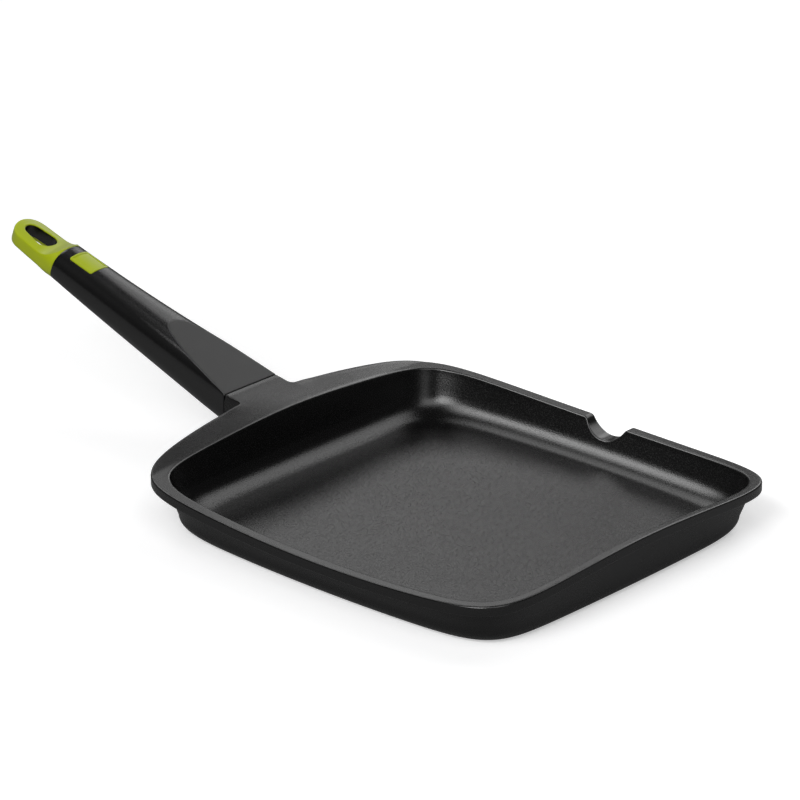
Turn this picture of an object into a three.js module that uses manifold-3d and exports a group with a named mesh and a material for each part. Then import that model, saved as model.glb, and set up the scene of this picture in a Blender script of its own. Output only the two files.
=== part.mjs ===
// Square griddle pan with a fixed handle, in millimetres.
// +Z is up, z = 0 is the flat underside, and x = y = 0 is the middle of the cooking opening.
// The handle points to -X, the front is +X and the pour notch is in the +Y wall.

import * as THREE from 'three';
import { mergeVertices } from 'three/addons/utils/BufferGeometryUtils.js';
import Module from 'manifold-3d';

const wasm = await Module();
wasm.setup();

// Driving dimensions: cooking opening and rim flange, in plan
const OPENING_LENGTH = 279; // inside edge of the rim, handle side to front
const OPENING_WIDTH = 266.6; // inside edge of the rim, side to side
const OPENING_SQUARENESS = 9; // superellipse power: higher is a tighter corner
const OPENING_SIDE_BOW = 7.3; // how far the side edges curve in towards the corners
const OPENING_HANDLE_BOW = 0;
const OPENING_FRONT_BOW = 3;
const FLANGE_FRONT = 5.3; // top width of the flange at the front
const FLANGE_SIDE = 7; // top width of the flange at the sides
const FLANGE_HANDLE = 21.2; // top width of the flange at the handle
const FLANGE_SQUARENESS = 9.9;
const FLANGE_SIDE_BOW = 9.8;
const FLANGE_FRONT_BOW = 3.5;
const FLANGE_HANDLE_BOW = 16;

// Rim height: a saddle, high at the handle and the front and low at the two sides
const RIM_HEIGHT = 32.7; // mean height of the rim's top
const RIM_SADDLE = 6; // rise at the handle and front, and fall at the sides
const RIM_HANDLE_LIFT = 1.5; // extra rise at the handle, and fall at the front
const RIM_CORNER_DROP = 0.9; // fall at the four corners
const FLANGE_THICKNESS = 6.5;
const FLANGE_UNDER_FILLET = 2;
const RIM_EDGE = 0.8; // broken edges of the flange

// Vessel walls and floor
const WALL = 3.7; // thickness under the rim, before the inside is taken out
const FLOOR = 4.5;
const BASE_RADIUS = 10; // outer edge of the underside
const BASE_INSET = 4; // draft of the outer wall, rim to base radius
const COVE_RADIUS = 13; // inner edge of the floor
const FLOOR_INSET = 20.5; // opening's edge to the flat floor, in plan

// Pour notch
const NOTCH_X = 2.5;
const NOTCH_RADIUS = 17.5;
const NOTCH_DEPTH = 10;
const NOTCH_LIP = 3; // rounded corners where the notch meets the rim's top
const SPOUT_WALL = 4; // collar of metal round the notch, under the flange

// Neck, facet and handle line
const SEAM_OUT = 13.9; // flange edge to the seam between neck and grip
const SEAM_GAP = 0.3;
const NECK_SLOPE = 0.13; // rise of the handle-side flange and neck per unit length
const NECK_FILLET = 3; // plan fillets between neck and flange
const NECK_SUNK = 1; // the neck runs this far below the flange's top, inside the casting
const FACET_SLOPE = 0.3705; // rise of the thumb facet per unit length
const GRIP_LENGTH = 161.4; // seam to cap joint, along X
const AXIS_DROP = 8.2; // grip centre below the facet, at the seam
const AXIS_RISE_MID = 21.7; // rise of the grip's centre from the seam to half way
const AXIS_RISE = 47.8; // the same to the cap joint
const SEAM_HALF_WIDTH = 23.7;
const MID_HALF_WIDTH = 17.4;
const JOINT_HALF_WIDTH = 14;
const SEAM_HALF_HEIGHT = 15.7;
const MID_TOP_HEIGHT = 14.3; // centre line to the grip's top, half way along
const MID_LOW_HEIGHT = 14; // centre line to the grip's underside
const JOINT_TOP_HEIGHT = 12.1;
const JOINT_LOW_HEIGHT = 9.85;
const SEAM_POWER = 3.4; // section superellipse: higher is boxier
const MID_TOP_POWER = 2.9;
const MID_LOW_POWER = 2.6;
const JOINT_TOP_POWER = 2.2;
const JOINT_LOW_POWER = 3.2;

// End cap, tail tongue and hanging slot
const CAP_LENGTH = 42.2; // cap joint to tip, along X
const CAP_ROUND = 11; // length of the rounded tip
const CAP_ROUND_POWER = 2.4; // superellipse power of the rounded tip
const CAP_TIP_HALF_WIDTH = 1; // blunt end of the rounding
const CAP_TIP_THINNING = 3.6; // height lost over the rounding, above the centre line
const CAP_TIP_LOW_THINNING = 1.5; // the same below the centre line
const CAP_THINNING_POWER = 4; // how late in the rounding the height is lost
const CAP_NARROWING = 1.9; // half-width lost from joint to tip
const CAP_LOW_HEIGHT = 7.3; // centre line to the cap's flat underside
const CAP_LOW_POWER = 8;
const CAP_FLATTEN = 14; // length over which the tail's underside turns flat
const CAP_WALL = 1.8;
const CAP_FACE_WALL = 0.9; // cap's wall over the tongue, at the hanging face
const CAP_FIT = 0.3; // clearance between tongue and cap
const CAP_FACE_START = 8.5; // joint to the hanging face, along X
const CAP_FACE_DROP = 7.5; // hanging face below the joint's crown line, at its start
const CAP_FACE_SLOPE = 0.333;
const CAP_FACE_CROWN = 40; // radius of the hanging face, across the handle
const CAP_RAMP_LIP = 0.3; // the ramp up from the face clears the joint's crown by this
const SLOT_START = 3.1; // start of the hanging face to the slot
const SLOT_END_WALL = 7; // end of the slot to the cap's tip, along X
const SLOT_ROOT_RADIUS = 7.2;
const SLOT_TIP_RADIUS = 5.6;
const SLOT_STEP = 0.4; // the tongue's slot is this much smaller all round

// Badge inlay, left bare
const BADGE_FROM_JOINT = 16.8; // cap joint to the badge's middle, along X
const BADGE_LENGTH = 20.2;
const BADGE_WIDTH = 15.8;
const BADGE_CORNER = 1.5;
const BADGE_THICKNESS = 1.9;
const BADGE_PROUD = 0.35;
const BADGE_BORDER = 1.6;
const BADGE_PANEL_DEPTH = 0.5;
const BADGE_FIT = 0.3;

// Tang and its screw
const TANG_LENGTH = 40;
const TANG_HALF_WIDTH = 11;
const TANG_HALF_HEIGHT = 6;
const TANG_DROP = 1.5; // tang centre below the grip's centre
const TANG_FIT = 0.3;
const SCREW_FROM_SEAM = 22;
const SCREW_DIAMETER = 6;
const SCREW_HEAD_DIAMETER = 10.5;
const SCREW_HEAD_FLAT = 8.4; // flat of the domed head, round the drive
const SCREW_HEAD_HEIGHT = 3.2;
const SCREW_TIP_CHAMFER = 0.8;
const SCREW_DRIVE_DEPTH = 1.8;
const SCREW_DRIVE_SIZE = 4;
const SCREW_SEAT_WALL = 2.4; // grip wall left between washer and tang
const SCREW_REACH = 10; // thread inside the tang
const SCREW_FIT = 0.25;
const WASHER_DIAMETER = 10;
const WASHER_THICKNESS = 1.4;
const SEAT_GAP = 0.2;

// Facet counts
const RIM_STEPS = 88;
const CORNER_CROWDING = 0.5; // draws rim steps towards the corners
const ROUND_STEPS = 4; // steps in the rounding of the base
const COVE_STEPS = 5;
const TAIL_STEPS = 6;
const TIP_STEPS = 6;
const CROWN_STEPS = 96; // steps round the whole circle of the hanging face's crown
const ARC_STEPS = 10; // steps in the arcs of the notch and the slot
const SECTION_STEPS = 36;
const GRIP_STEPS = 14;
const NECK_STEPS = 10;
const BADGE_STEPS = 8;
const LATHE_STEPS = 24;
const FAR = 600; // reach of cutting prisms, past every end of the part

// Places that follow from the dimensions
const OPENING = {
  handleX: -OPENING_LENGTH / 2,
  frontX: OPENING_LENGTH / 2,
  halfWidth: OPENING_WIDTH / 2,
  handleBow: OPENING_HANDLE_BOW,
  frontBow: OPENING_FRONT_BOW,
  sideBow: OPENING_SIDE_BOW,
  power: OPENING_SQUARENESS,
};
const FLANGE = {
  handleX: OPENING.handleX - FLANGE_HANDLE,
  frontX: OPENING.frontX + FLANGE_FRONT,
  halfWidth: OPENING.halfWidth + FLANGE_SIDE,
  handleBow: FLANGE_HANDLE_BOW,
  frontBow: FLANGE_FRONT_BOW,
  sideBow: FLANGE_SIDE_BOW,
  power: FLANGE_SQUARENESS,
};
const SEAM_X = FLANGE.handleX - SEAM_OUT;
const JOINT_X = SEAM_X - GRIP_LENGTH;
const FACET_Z = rimHeight(Math.PI) + neckRise(SEAM_X);
const AXIS_Z = FACET_Z - AXIS_DROP;
const FACE_STRETCH = Math.hypot(1, CAP_FACE_SLOPE); // length along the hanging face per unit of X
const SLOT_LENGTH = (CAP_LENGTH - CAP_FACE_START - SLOT_END_WALL) * FACE_STRETCH - SLOT_START;

// Solids: conversion between three.js geometry and boolean bodies

function solid(geometry) {
  const bare = geometry.index ? geometry : geometry.clone();
  bare.deleteAttribute('normal');
  bare.deleteAttribute('uv');
  const merged = mergeVertices(bare, 1e-4);
  return new wasm.Manifold(new wasm.Mesh({
    numProp: 3,
    vertProperties: new Float32Array(merged.attributes.position.array),
    triVerts: new Uint32Array(merged.index.array),
  }));
}

function geometryOf(body) {
  const mesh = body.getMesh();
  const geometry = new THREE.BufferGeometry();
  geometry.setAttribute('position', new THREE.BufferAttribute(new Float32Array(mesh.vertProperties), 3));
  geometry.setIndex(new THREE.BufferAttribute(new Uint32Array(mesh.triVerts), 1));
  geometry.computeVertexNormals();
  return geometry;
}

// Skins a stack of rings that have equal numbers of points, and closes both ends with a fan.
function loft(rings) {
  const count = rings[0].length;
  const middle = (ring) => ring.reduce((sum, p) => sum.add(p), new THREE.Vector3()).divideScalar(count);
  const points = [...rings.flat(), middle(rings[0]), middle(rings.at(-1))];
  const first = rings.length * count;
  const last = first + 1;
  const top = (rings.length - 1) * count;
  const index = [];
  for (let i = 0; i < count; i += 1) {
    const j = (i + 1) % count;
    index.push(first, j, i, last, top + i, top + j);
    for (let k = 0; k < rings.length - 1; k += 1) {
      const a = k * count;
      const b = a + count;
      index.push(a + i, a + j, b + j, a + i, b + j, b + i);
    }
  }
  const geometry = new THREE.BufferGeometry().setFromPoints(points);
  geometry.setIndex(index);
  return solid(geometry);
}

// A shape drawn in (x, z), made into a prism from one y to another.
function prismAlongY(shape, fromY, toY) {
  const options = { depth: toY - fromY, bevelEnabled: false, curveSegments: ARC_STEPS };
  const geometry = new THREE.ExtrudeGeometry(shape, options);
  geometry.rotateX(Math.PI / 2);
  geometry.translate(0, toY, 0);
  return solid(geometry);
}

// Plan curves

// Distance from the middle to a bowed superellipse, found by halving.
function planRadius(angle, plan, inset) {
  const cx = Math.cos(angle);
  const cy = Math.sin(angle);
  const endX = (cx < 0 ? -plan.handleX : plan.frontX) - inset;
  const bow = cx < 0 ? plan.handleBow : plan.frontBow;
  const width = plan.halfWidth - inset;
  let low = 0;
  let high = 2 * (endX + width);
  for (let i = 0; i < 40; i += 1) {
    const r = (low + high) / 2;
    const x = Math.abs(r * cx);
    const y = Math.abs(r * cy);
    const reachX = Math.max(endX - bow * (y / width) ** 2, 1);
    const reachY = Math.max(width - plan.sideBow * (x / endX) ** 2, 1);
    if ((x / reachX) ** plan.power + (y / reachY) ** plan.power < 1) low = r;
    else high = r;
  }
  return low;
}

function rimHeight(angle) {
  return RIM_HEIGHT + RIM_SADDLE * Math.cos(2 * angle) - RIM_HANDLE_LIFT * Math.cos(angle)
    + RIM_CORNER_DROP * Math.cos(4 * angle);
}

// The flange's top ramps up from the opening's handle edge, over the neck and on to the seam.
function neckRise(x) {
  return NECK_SLOPE * Math.max(OPENING.handleX - x, 0);
}

function rimAngles() {
  return Array.from({ length: RIM_STEPS }, (_, i) => {
    const turn = 2 * Math.PI * i / RIM_STEPS;
    return turn + CORNER_CROWDING * Math.sin(4 * turn) / 4;
  });
}

// One ring round the vessel. heightAt(angle, x) gives z.
function planRing(radiusAt, heightAt) {
  return rimAngles().map((angle) => {
    const r = radiusAt(angle);
    const x = r * Math.cos(angle);
    return new THREE.Vector3(x, r * Math.sin(angle), heightAt(angle, x));
  });
}

const openingRing = (inset, heightAt) => planRing((angle) => planRadius(angle, OPENING, inset), heightAt);
const flangeRing = (inset, heightAt) => planRing((angle) => planRadius(angle, FLANGE, inset), heightAt);

// A ring on the flange's top, share 0 at the opening's edge and 1 at the flange's edge.
function flangeTopRing(share) {
  const radiusAt = (angle) => THREE.MathUtils.lerp(
    planRadius(angle, OPENING, 0), planRadius(angle, FLANGE, RIM_EDGE), share);
  return planRing(radiusAt, (angle, x) => rimHeight(angle) + neckRise(x));
}

// Vessel

function vesselOutside() {
  const under = (angle, x) => rimHeight(angle) + neckRise(x) - FLANGE_THICKNESS;
  const rings = [];
  for (let i = 0; i <= ROUND_STEPS; i += 1) {
    const turn = (Math.PI / 2) * (1 - i / ROUND_STEPS);
    const inset = BASE_INSET + BASE_RADIUS * (1 - Math.cos(turn));
    rings.push(openingRing(inset, () => BASE_RADIUS * (1 - Math.sin(turn))));
  }
  rings.push(openingRing(0, (angle, x) => under(angle, x) - FLANGE_UNDER_FILLET));
  rings.push(openingRing(-FLANGE_UNDER_FILLET, under));
  rings.push(flangeRing(RIM_EDGE, under));
  rings.push(flangeRing(0, (angle, x) => under(angle, x) + RIM_EDGE));
  rings.push(flangeRing(0, (angle, x) => rimHeight(angle) + neckRise(x) - RIM_EDGE));
  rings.push(flangeTopRing(1), flangeTopRing(0.6), flangeTopRing(0.3), flangeTopRing(0));
  rings.push(openingRing(WALL, (angle) => rimHeight(angle)));
  return loft(rings);
}

// How far the inner wall leans from upright, so that it runs smoothly into the cove.
function wallLean(angle) {
  const fall = rimHeight(angle) - RIM_EDGE - FLOOR - COVE_RADIUS;
  const run = FLOOR_INSET - RIM_EDGE / 2;
  return Math.atan2(run, fall) - Math.asin(COVE_RADIUS / Math.hypot(run, fall));
}

// A ring on the cove, share 0 at the wall's foot and 1 at the floor.
function coveRing(share) {
  const turnAt = (angle) => THREE.MathUtils.lerp(wallLean(angle), Math.PI / 2, share);
  const insetAt = (angle) => FLOOR_INSET - COVE_RADIUS * Math.cos(turnAt(angle));
  const heightAt = (angle) => FLOOR + COVE_RADIUS * (1 - Math.sin(turnAt(angle)));
  return planRing((angle) => planRadius(angle, OPENING, insetAt(angle)), heightAt);
}

function vesselInside() {
  const rings = [];
  for (let i = 0; i <= COVE_STEPS; i += 1) rings.push(coveRing(1 - i / COVE_STEPS));
  rings.push(openingRing(RIM_EDGE / 2, (angle) => rimHeight(angle) - RIM_EDGE));
  rings.push(openingRing(-RIM_EDGE / 2, (angle) => rimHeight(angle)));
  rings.push(openingRing(-RIM_EDGE / 2, () => FAR));
  return loft(rings);
}

// The notch's outline, with rounded corners where it runs into the rim's top.
function notchShape(rimTop) {
  const centreZ = rimTop - NOTCH_DEPTH + NOTCH_RADIUS;
  const lipZ = rimTop - NOTCH_LIP;
  const reach = NOTCH_RADIUS + NOTCH_LIP;
  const lipX = Math.sqrt(reach * reach - (centreZ - lipZ) ** 2);
  const meet = Math.atan2(centreZ - lipZ, lipX);
  const shape = new THREE.Shape();
  shape.absarc(NOTCH_X - lipX, lipZ, NOTCH_LIP, Math.PI / 2, meet, true);
  shape.absarc(NOTCH_X, centreZ, NOTCH_RADIUS, Math.PI + meet, 2 * Math.PI - meet, false);
  shape.absarc(NOTCH_X + lipX, lipZ, NOTCH_LIP, Math.PI - meet, Math.PI / 2, true);
  shape.lineTo(NOTCH_X + lipX, FAR);
  shape.lineTo(NOTCH_X - lipX, FAR);
  shape.closePath();
  return shape;
}

// Metal round the notch, below the flange: part of a disc, cut off under the rim's top.
function spoutCollar(rimTop) {
  const centreZ = rimTop - NOTCH_DEPTH + NOTCH_RADIUS;
  const radius = NOTCH_RADIUS + SPOUT_WALL;
  const half = Math.acos((centreZ - rimTop + FLANGE_THICKNESS / 2) / radius);
  const shape = new THREE.Shape();
  shape.absarc(NOTCH_X, centreZ, radius, -Math.PI / 2 - half, -Math.PI / 2 + half, false);
  shape.closePath();
  return prismAlongY(shape, OPENING.halfWidth - WALL, FLANGE.halfWidth - RIM_EDGE);
}

// Handle body: superellipse sections square to a rising centre line

// Quadratic through three values at u = 0, 1/2 and 1.
function through(start, mid, end) {
  const bend = 2 * (start + end - 2 * mid);
  return (u) => start + (end - start - bend) * u + bend * u * u;
}

const axisHeight = through(AXIS_Z, AXIS_Z + AXIS_RISE_MID, AXIS_Z + AXIS_RISE);
const gripHalfWidth = through(SEAM_HALF_WIDTH, MID_HALF_WIDTH, JOINT_HALF_WIDTH);
const gripTop = through(SEAM_HALF_HEIGHT, MID_TOP_HEIGHT, JOINT_TOP_HEIGHT);
const gripLow = through(SEAM_HALF_HEIGHT, MID_LOW_HEIGHT, JOINT_LOW_HEIGHT);
const gripTopPower = through(SEAM_POWER, MID_TOP_POWER, JOINT_TOP_POWER);
const gripLowPower = through(SEAM_POWER, MID_LOW_POWER, JOINT_LOW_POWER);
const axisU = (x) => (SEAM_X - x) / GRIP_LENGTH;

function axisSlope(u) {
  const step = 1e-3;
  return (axisHeight(u + step) - axisHeight(u - step)) / (2 * step * GRIP_LENGTH);
}

// Frame on the centre line at x: origin, up (square to the line) and forward (towards the tail).
function axisFrame(x) {
  const u = axisU(x);
  const slope = axisSlope(u);
  return {
    origin: new THREE.Vector3(x, 0, axisHeight(u)),
    up: new THREE.Vector3(slope, 0, 1).normalize(),
    forward: new THREE.Vector3(-1, 0, slope).normalize(),
  };
}

// A ring whose upper and lower halves have their own height and squareness.
function sectionRing(x, halfWidth, top, low) {
  const { origin, up } = axisFrame(x);
  return Array.from({ length: SECTION_STEPS }, (_, i) => {
    const turn = -2 * Math.PI * i / SECTION_STEPS;
    const c = Math.cos(turn);
    const s = Math.sin(turn);
    const { height, power } = s > 0 ? top : low;
    const y = halfWidth * Math.sign(c) * Math.abs(c) ** (2 / power);
    const rise = height * Math.sign(s) * Math.abs(s) ** (2 / power);
    return origin.clone().addScaledVector(up, rise).setY(y);
  });
}

// The neck flares into the flange with a quarter-round fillet.
function neckFlare(x) {
  const along = THREE.MathUtils.clamp((x - FLANGE.handleX + NECK_FILLET) / NECK_FILLET, 0, 1);
  return NECK_FILLET * (1 - Math.sqrt(1 - along * along));
}

// Grip and neck, from inside the vessel's wall to the cap joint, shrunk all round by inset.
// The neck keeps the section that the grip has at the seam.
function gripLoft(fromX, toX, steps, inset) {
  const rings = [];
  for (let i = 0; i <= steps; i += 1) {
    const x = THREE.MathUtils.lerp(fromX, toX, i / steps);
    const u = Math.max(axisU(x), 0);
    const halfWidth = gripHalfWidth(u) + neckFlare(x) - inset;
    const top = { height: gripTop(u) - inset, power: gripTopPower(u) };
    const low = { height: gripLow(u) - inset, power: gripLowPower(u) };
    rings.push(sectionRing(x, halfWidth, top, low));
  }
  return loft(rings);
}

// The tail beyond the cap joint, flat underneath and with a rounded tip, shrunk all round by inset.
// It starts before the joint by lead.
function tailLoft(inset, lead) {
  const tipX = JOINT_X - CAP_LENGTH + inset;
  const roundX = tipX + CAP_ROUND;
  const { lerp, smoothstep } = THREE.MathUtils;
  const ring = (x, share) => {
    const rounding = (1 - share ** CAP_ROUND_POWER) ** (1 / CAP_ROUND_POWER);
    const halfWidth = JOINT_HALF_WIDTH - CAP_NARROWING * (JOINT_X - x) / CAP_LENGTH - inset;
    const flat = smoothstep(JOINT_X - x, 0, CAP_FLATTEN);
    const thinning = share ** CAP_THINNING_POWER;
    const topHeight = JOINT_TOP_HEIGHT - CAP_TIP_THINNING * thinning;
    const lowHeight = lerp(JOINT_LOW_HEIGHT, CAP_LOW_HEIGHT, flat) - CAP_TIP_LOW_THINNING * thinning;
    const top = { height: topHeight - inset, power: JOINT_TOP_POWER };
    const low = { height: lowHeight - inset, power: lerp(JOINT_LOW_POWER, CAP_LOW_POWER, flat) };
    return sectionRing(x, Math.max(halfWidth * rounding, CAP_TIP_HALF_WIDTH), top, low);
  };
  const rings = [];
  for (let i = 0; i < TAIL_STEPS; i += 1) rings.push(ring(lerp(JOINT_X + lead, roundX, i / TAIL_STEPS), 0));
  for (let i = 0; i <= TIP_STEPS; i += 1) {
    const share = Math.sin((Math.PI / 2) * i / TIP_STEPS);
    rings.push(ring(roundX - CAP_ROUND * share, share));
  }
  return loft(rings);
}

// Everything above the neck's ramp and the thumb facet, to be cut from the handle body.
function aboveFacet() {
  const rampX = FLANGE.handleX + 3 * RIM_EDGE;
  const rampZ = rimHeight(Math.PI) + neckRise(rampX);
  const shape = new THREE.Shape();
  shape.moveTo(FAR, rimHeight(Math.PI) - NECK_SUNK);
  shape.lineTo(OPENING.handleX, rimHeight(Math.PI) - NECK_SUNK);
  shape.lineTo(rampX + NECK_SUNK, rampZ - NECK_SUNK);
  shape.lineTo(rampX, rampZ);
  shape.lineTo(SEAM_X, FACET_Z);
  shape.lineTo(JOINT_X, FACET_Z + FACET_SLOPE * (SEAM_X - JOINT_X));
  shape.lineTo(JOINT_X, FAR);
  shape.lineTo(FAR, FAR);
  shape.closePath();
  return prismAlongY(shape, -FAR, FAR);
}

// A block that keeps what lies on one side of the plane x = const.
function halfSpace(fromX, toX) {
  const geometry = new THREE.BoxGeometry(toX - fromX, 2 * FAR, 2 * FAR);
  geometry.translate((fromX + toX) / 2, 0, 0);
  return solid(geometry);
}

// Rectangular tang on the centre line, grown all round by fit.
function tangLoft(fit) {
  const fromX = SEAM_X + SEAM_OUT;
  const toX = SEAM_X - TANG_LENGTH - fit;
  const rings = [fromX, SEAM_X, toX].map((x) => {
    const { origin, up } = axisFrame(x);
    const corner = (side, level) => origin.clone()
      .addScaledVector(up, level * (TANG_HALF_HEIGHT + fit) - TANG_DROP)
      .setY(side * (TANG_HALF_WIDTH + fit));
    return [corner(1, 1), corner(1, -1), corner(-1, -1), corner(-1, 1)];
  });
  return loft(rings);
}

// Screw: a lathe profile up the local screw axis, which is square to the grip's centre line

function placeOnScrewAxis(geometry) {
  const { origin, up } = axisFrame(SEAM_X - SCREW_FROM_SEAM);
  const tilt = new THREE.Quaternion().setFromUnitVectors(new THREE.Vector3(0, 0, 1), up);
  geometry.applyQuaternion(tilt);
  geometry.translate(origin.x, origin.y, origin.z);
  return geometry;
}

function turned(profile) {
  const points = profile.map(([radius, level]) => new THREE.Vector2(radius, level));
  const geometry = new THREE.LatheGeometry(points, LATHE_STEPS);
  geometry.rotateX(Math.PI / 2);
  return solid(placeOnScrewAxis(geometry));
}

const rod = (radius, from, to) => turned([[0, from], [radius, from], [radius, to], [0, to]]);

// Levels on the screw axis, measured from the grip's centre line
const TANG_UNDER = -TANG_DROP - TANG_HALF_HEIGHT;
const SEAT_LEVEL = TANG_UNDER - TANG_FIT - SCREW_SEAT_WALL;
const WASHER_TOP = SEAT_LEVEL - SEAT_GAP;
const HEAD_TOP = WASHER_TOP - WASHER_THICKNESS - SEAT_GAP;
const HEAD_UNDER = HEAD_TOP - SCREW_HEAD_HEIGHT;
const SCREW_TIP = TANG_UNDER + SCREW_REACH;
const SCREW_RADIUS = SCREW_DIAMETER / 2;
const CLEAR_RADIUS = SCREW_RADIUS + SCREW_FIT;
const HEAD_POCKET_RADIUS = Math.max(SCREW_HEAD_DIAMETER, WASHER_DIAMETER) / 2 + SCREW_FIT;

function handleScrew() {
  const head = SCREW_HEAD_DIAMETER / 2;
  const body = turned([
    [0, HEAD_UNDER],
    [SCREW_HEAD_FLAT / 2, HEAD_UNDER],
    [head, HEAD_UNDER + SCREW_HEAD_HEIGHT / 2],
    [head, HEAD_TOP],
    [SCREW_RADIUS, HEAD_TOP],
    [SCREW_RADIUS, SCREW_TIP - SCREW_TIP_CHAMFER],
    [SCREW_RADIUS - SCREW_TIP_CHAMFER, SCREW_TIP],
    [0, SCREW_TIP],
  ]);
  const driveRadius = SCREW_DRIVE_SIZE / 2;
  const drive = new THREE.CylinderGeometry(driveRadius, driveRadius, 2 * SCREW_DRIVE_DEPTH, 6);
  drive.rotateX(Math.PI / 2);
  drive.translate(0, 0, HEAD_UNDER);
  return body.subtract(solid(placeOnScrewAxis(drive)));
}

function springWasher() {
  const inner = CLEAR_RADIUS;
  const outer = WASHER_DIAMETER / 2;
  const top = WASHER_TOP;
  const bottom = top - WASHER_THICKNESS;
  return turned([[inner, bottom], [outer, bottom], [outer, top], [inner, top], [inner, bottom]]);
}

// Hanging face and slot of the end cap

function capFaceStart() {
  const { origin, up } = axisFrame(JOINT_X);
  const crown = origin.clone().addScaledVector(up, JOINT_TOP_HEIGHT);
  const slope = axisSlope(1);
  const x = JOINT_X - CAP_FACE_START;
  return { crown, x, z: crown.z + slope * (crown.x - x) - CAP_FACE_DROP };
}

// A thick round bar whose top line runs from one point of the XZ plane towards another, nearer the tip.
function crownedBar(from, to) {
  const along = to.clone().sub(from).normalize();
  const out = new THREE.Vector3(along.z, 0, -along.x);
  const across = new THREE.Vector3().crossVectors(along, out);
  const radius = CAP_FACE_CROWN;
  const middle = from.clone().addScaledVector(out, -radius);
  const geometry = new THREE.CylinderGeometry(radius, radius, 4 * CAP_LENGTH, CROWN_STEPS);
  geometry.applyMatrix4(new THREE.Matrix4().makeBasis(across, along, out).setPosition(middle));
  return solid(geometry);
}

// Everything under the crowned hanging face and the ramp that leads up to the grip, lowered by drop.
function underCapFace(drop) {
  const { crown, x, z } = capFaceStart();
  const foot = new THREE.Vector3(x, 0, z - drop);
  const lip = new THREE.Vector3(crown.x, 0, crown.z + CAP_RAMP_LIP - drop);
  const tip = new THREE.Vector3(x - CAP_LENGTH, 0, z - drop + CAP_FACE_SLOPE * CAP_LENGTH);
  return crownedBar(foot, tip).add(crownedBar(lip, foot));
}

// Tapered slot, square to the hanging face, made smaller all round by inset.
function slotPrism(inset) {
  const { x, z } = capFaceStart();
  const root = SLOT_ROOT_RADIUS - inset;
  const tip = SLOT_TIP_RADIUS - inset;
  const rootAt = SLOT_START + SLOT_ROOT_RADIUS;
  const tipAt = SLOT_START + SLOT_LENGTH - SLOT_TIP_RADIUS;
  const lean = Math.asin((root - tip) / (tipAt - rootAt));
  const quarter = Math.PI / 2;
  const shape = new THREE.Shape();
  shape.absarc(rootAt, 0, root, quarter - lean, 3 * quarter + lean, false);
  shape.absarc(tipAt, 0, tip, -quarter + lean, quarter - lean, false);
  shape.closePath();
  const options = { depth: CAP_LENGTH, bevelEnabled: false, curveSegments: ARC_STEPS };
  const geometry = new THREE.ExtrudeGeometry(shape, options);
  geometry.translate(0, 0, -CAP_LENGTH / 2);
  const along = new THREE.Vector3(-1, 0, CAP_FACE_SLOPE).normalize();
  const out = new THREE.Vector3(CAP_FACE_SLOPE, 0, 1).normalize();
  const across = new THREE.Vector3().crossVectors(out, along);
  geometry.applyMatrix4(new THREE.Matrix4().makeBasis(along, across, out).setPosition(x, 0, z));
  return solid(geometry);
}

// Badge

// Rounded rectangle over the badge, square to the grip, larger all round by grow.
function badgePrism(grow) {
  const x = JOINT_X + BADGE_FROM_JOINT;
  const { origin, up, forward } = axisFrame(x);
  const halfLength = BADGE_LENGTH / 2 + grow;
  const halfWidth = BADGE_WIDTH / 2 + grow;
  const corner = Math.max(BADGE_CORNER + grow, BADGE_FIT);
  const quarter = Math.PI / 2;
  const shape = new THREE.Shape();
  [[1, 1], [-1, 1], [-1, -1], [1, -1]].forEach(([sx, sy], i) => {
    const turn = i * quarter;
    shape.absarc(sx * (halfLength - corner), sy * (halfWidth - corner), corner, turn, turn + quarter, false);
  });
  shape.closePath();
  const options = { depth: 2 * MID_TOP_HEIGHT, bevelEnabled: false, curveSegments: ROUND_STEPS };
  const geometry = new THREE.ExtrudeGeometry(shape, options);
  const across = new THREE.Vector3().crossVectors(up, forward);
  geometry.applyMatrix4(new THREE.Matrix4().makeBasis(forward, across, up).setPosition(origin));
  return solid(geometry);
}

// The grip's own surface near the badge, shrunk all round by inset.
function badgeGround(inset) {
  const reach = BADGE_LENGTH;
  const middle = JOINT_X + BADGE_FROM_JOINT;
  return gripLoft(middle + reach, middle - reach, BADGE_STEPS, inset);
}

function badgePlate() {
  const plate = badgeGround(-BADGE_PROUD).intersect(badgePrism(0)).subtract(badgeGround(BADGE_THICKNESS));
  const panel = badgePrism(-BADGE_BORDER).subtract(badgeGround(BADGE_PANEL_DEPTH - BADGE_PROUD));
  return plate.subtract(panel);
}

function badgeRecess() {
  return badgePrism(BADGE_FIT).subtract(badgeGround(BADGE_THICKNESS + BADGE_FIT));
}

// Pieces

function panCasting() {
  const rimTop = rimHeight(Math.PI / 2);
  const neckEnd = OPENING.handleX + BASE_RADIUS + WALL;
  const neck = gripLoft(neckEnd, SEAM_X - TANG_LENGTH, NECK_STEPS, 0)
    .subtract(aboveFacet())
    .intersect(halfSpace(SEAM_X + SEAM_GAP, FAR));
  const notch = prismAlongY(notchShape(rimTop), 0, FAR);
  return vesselOutside()
    .add(neck)
    .add(spoutCollar(rimTop))
    .subtract(vesselInside())
    .subtract(notch)
    .add(tangLoft(0))
    .subtract(rod(CLEAR_RADIUS, TANG_UNDER - TANG_FIT, SCREW_TIP + SEAT_GAP + TANG_HALF_HEIGHT));
}

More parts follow.
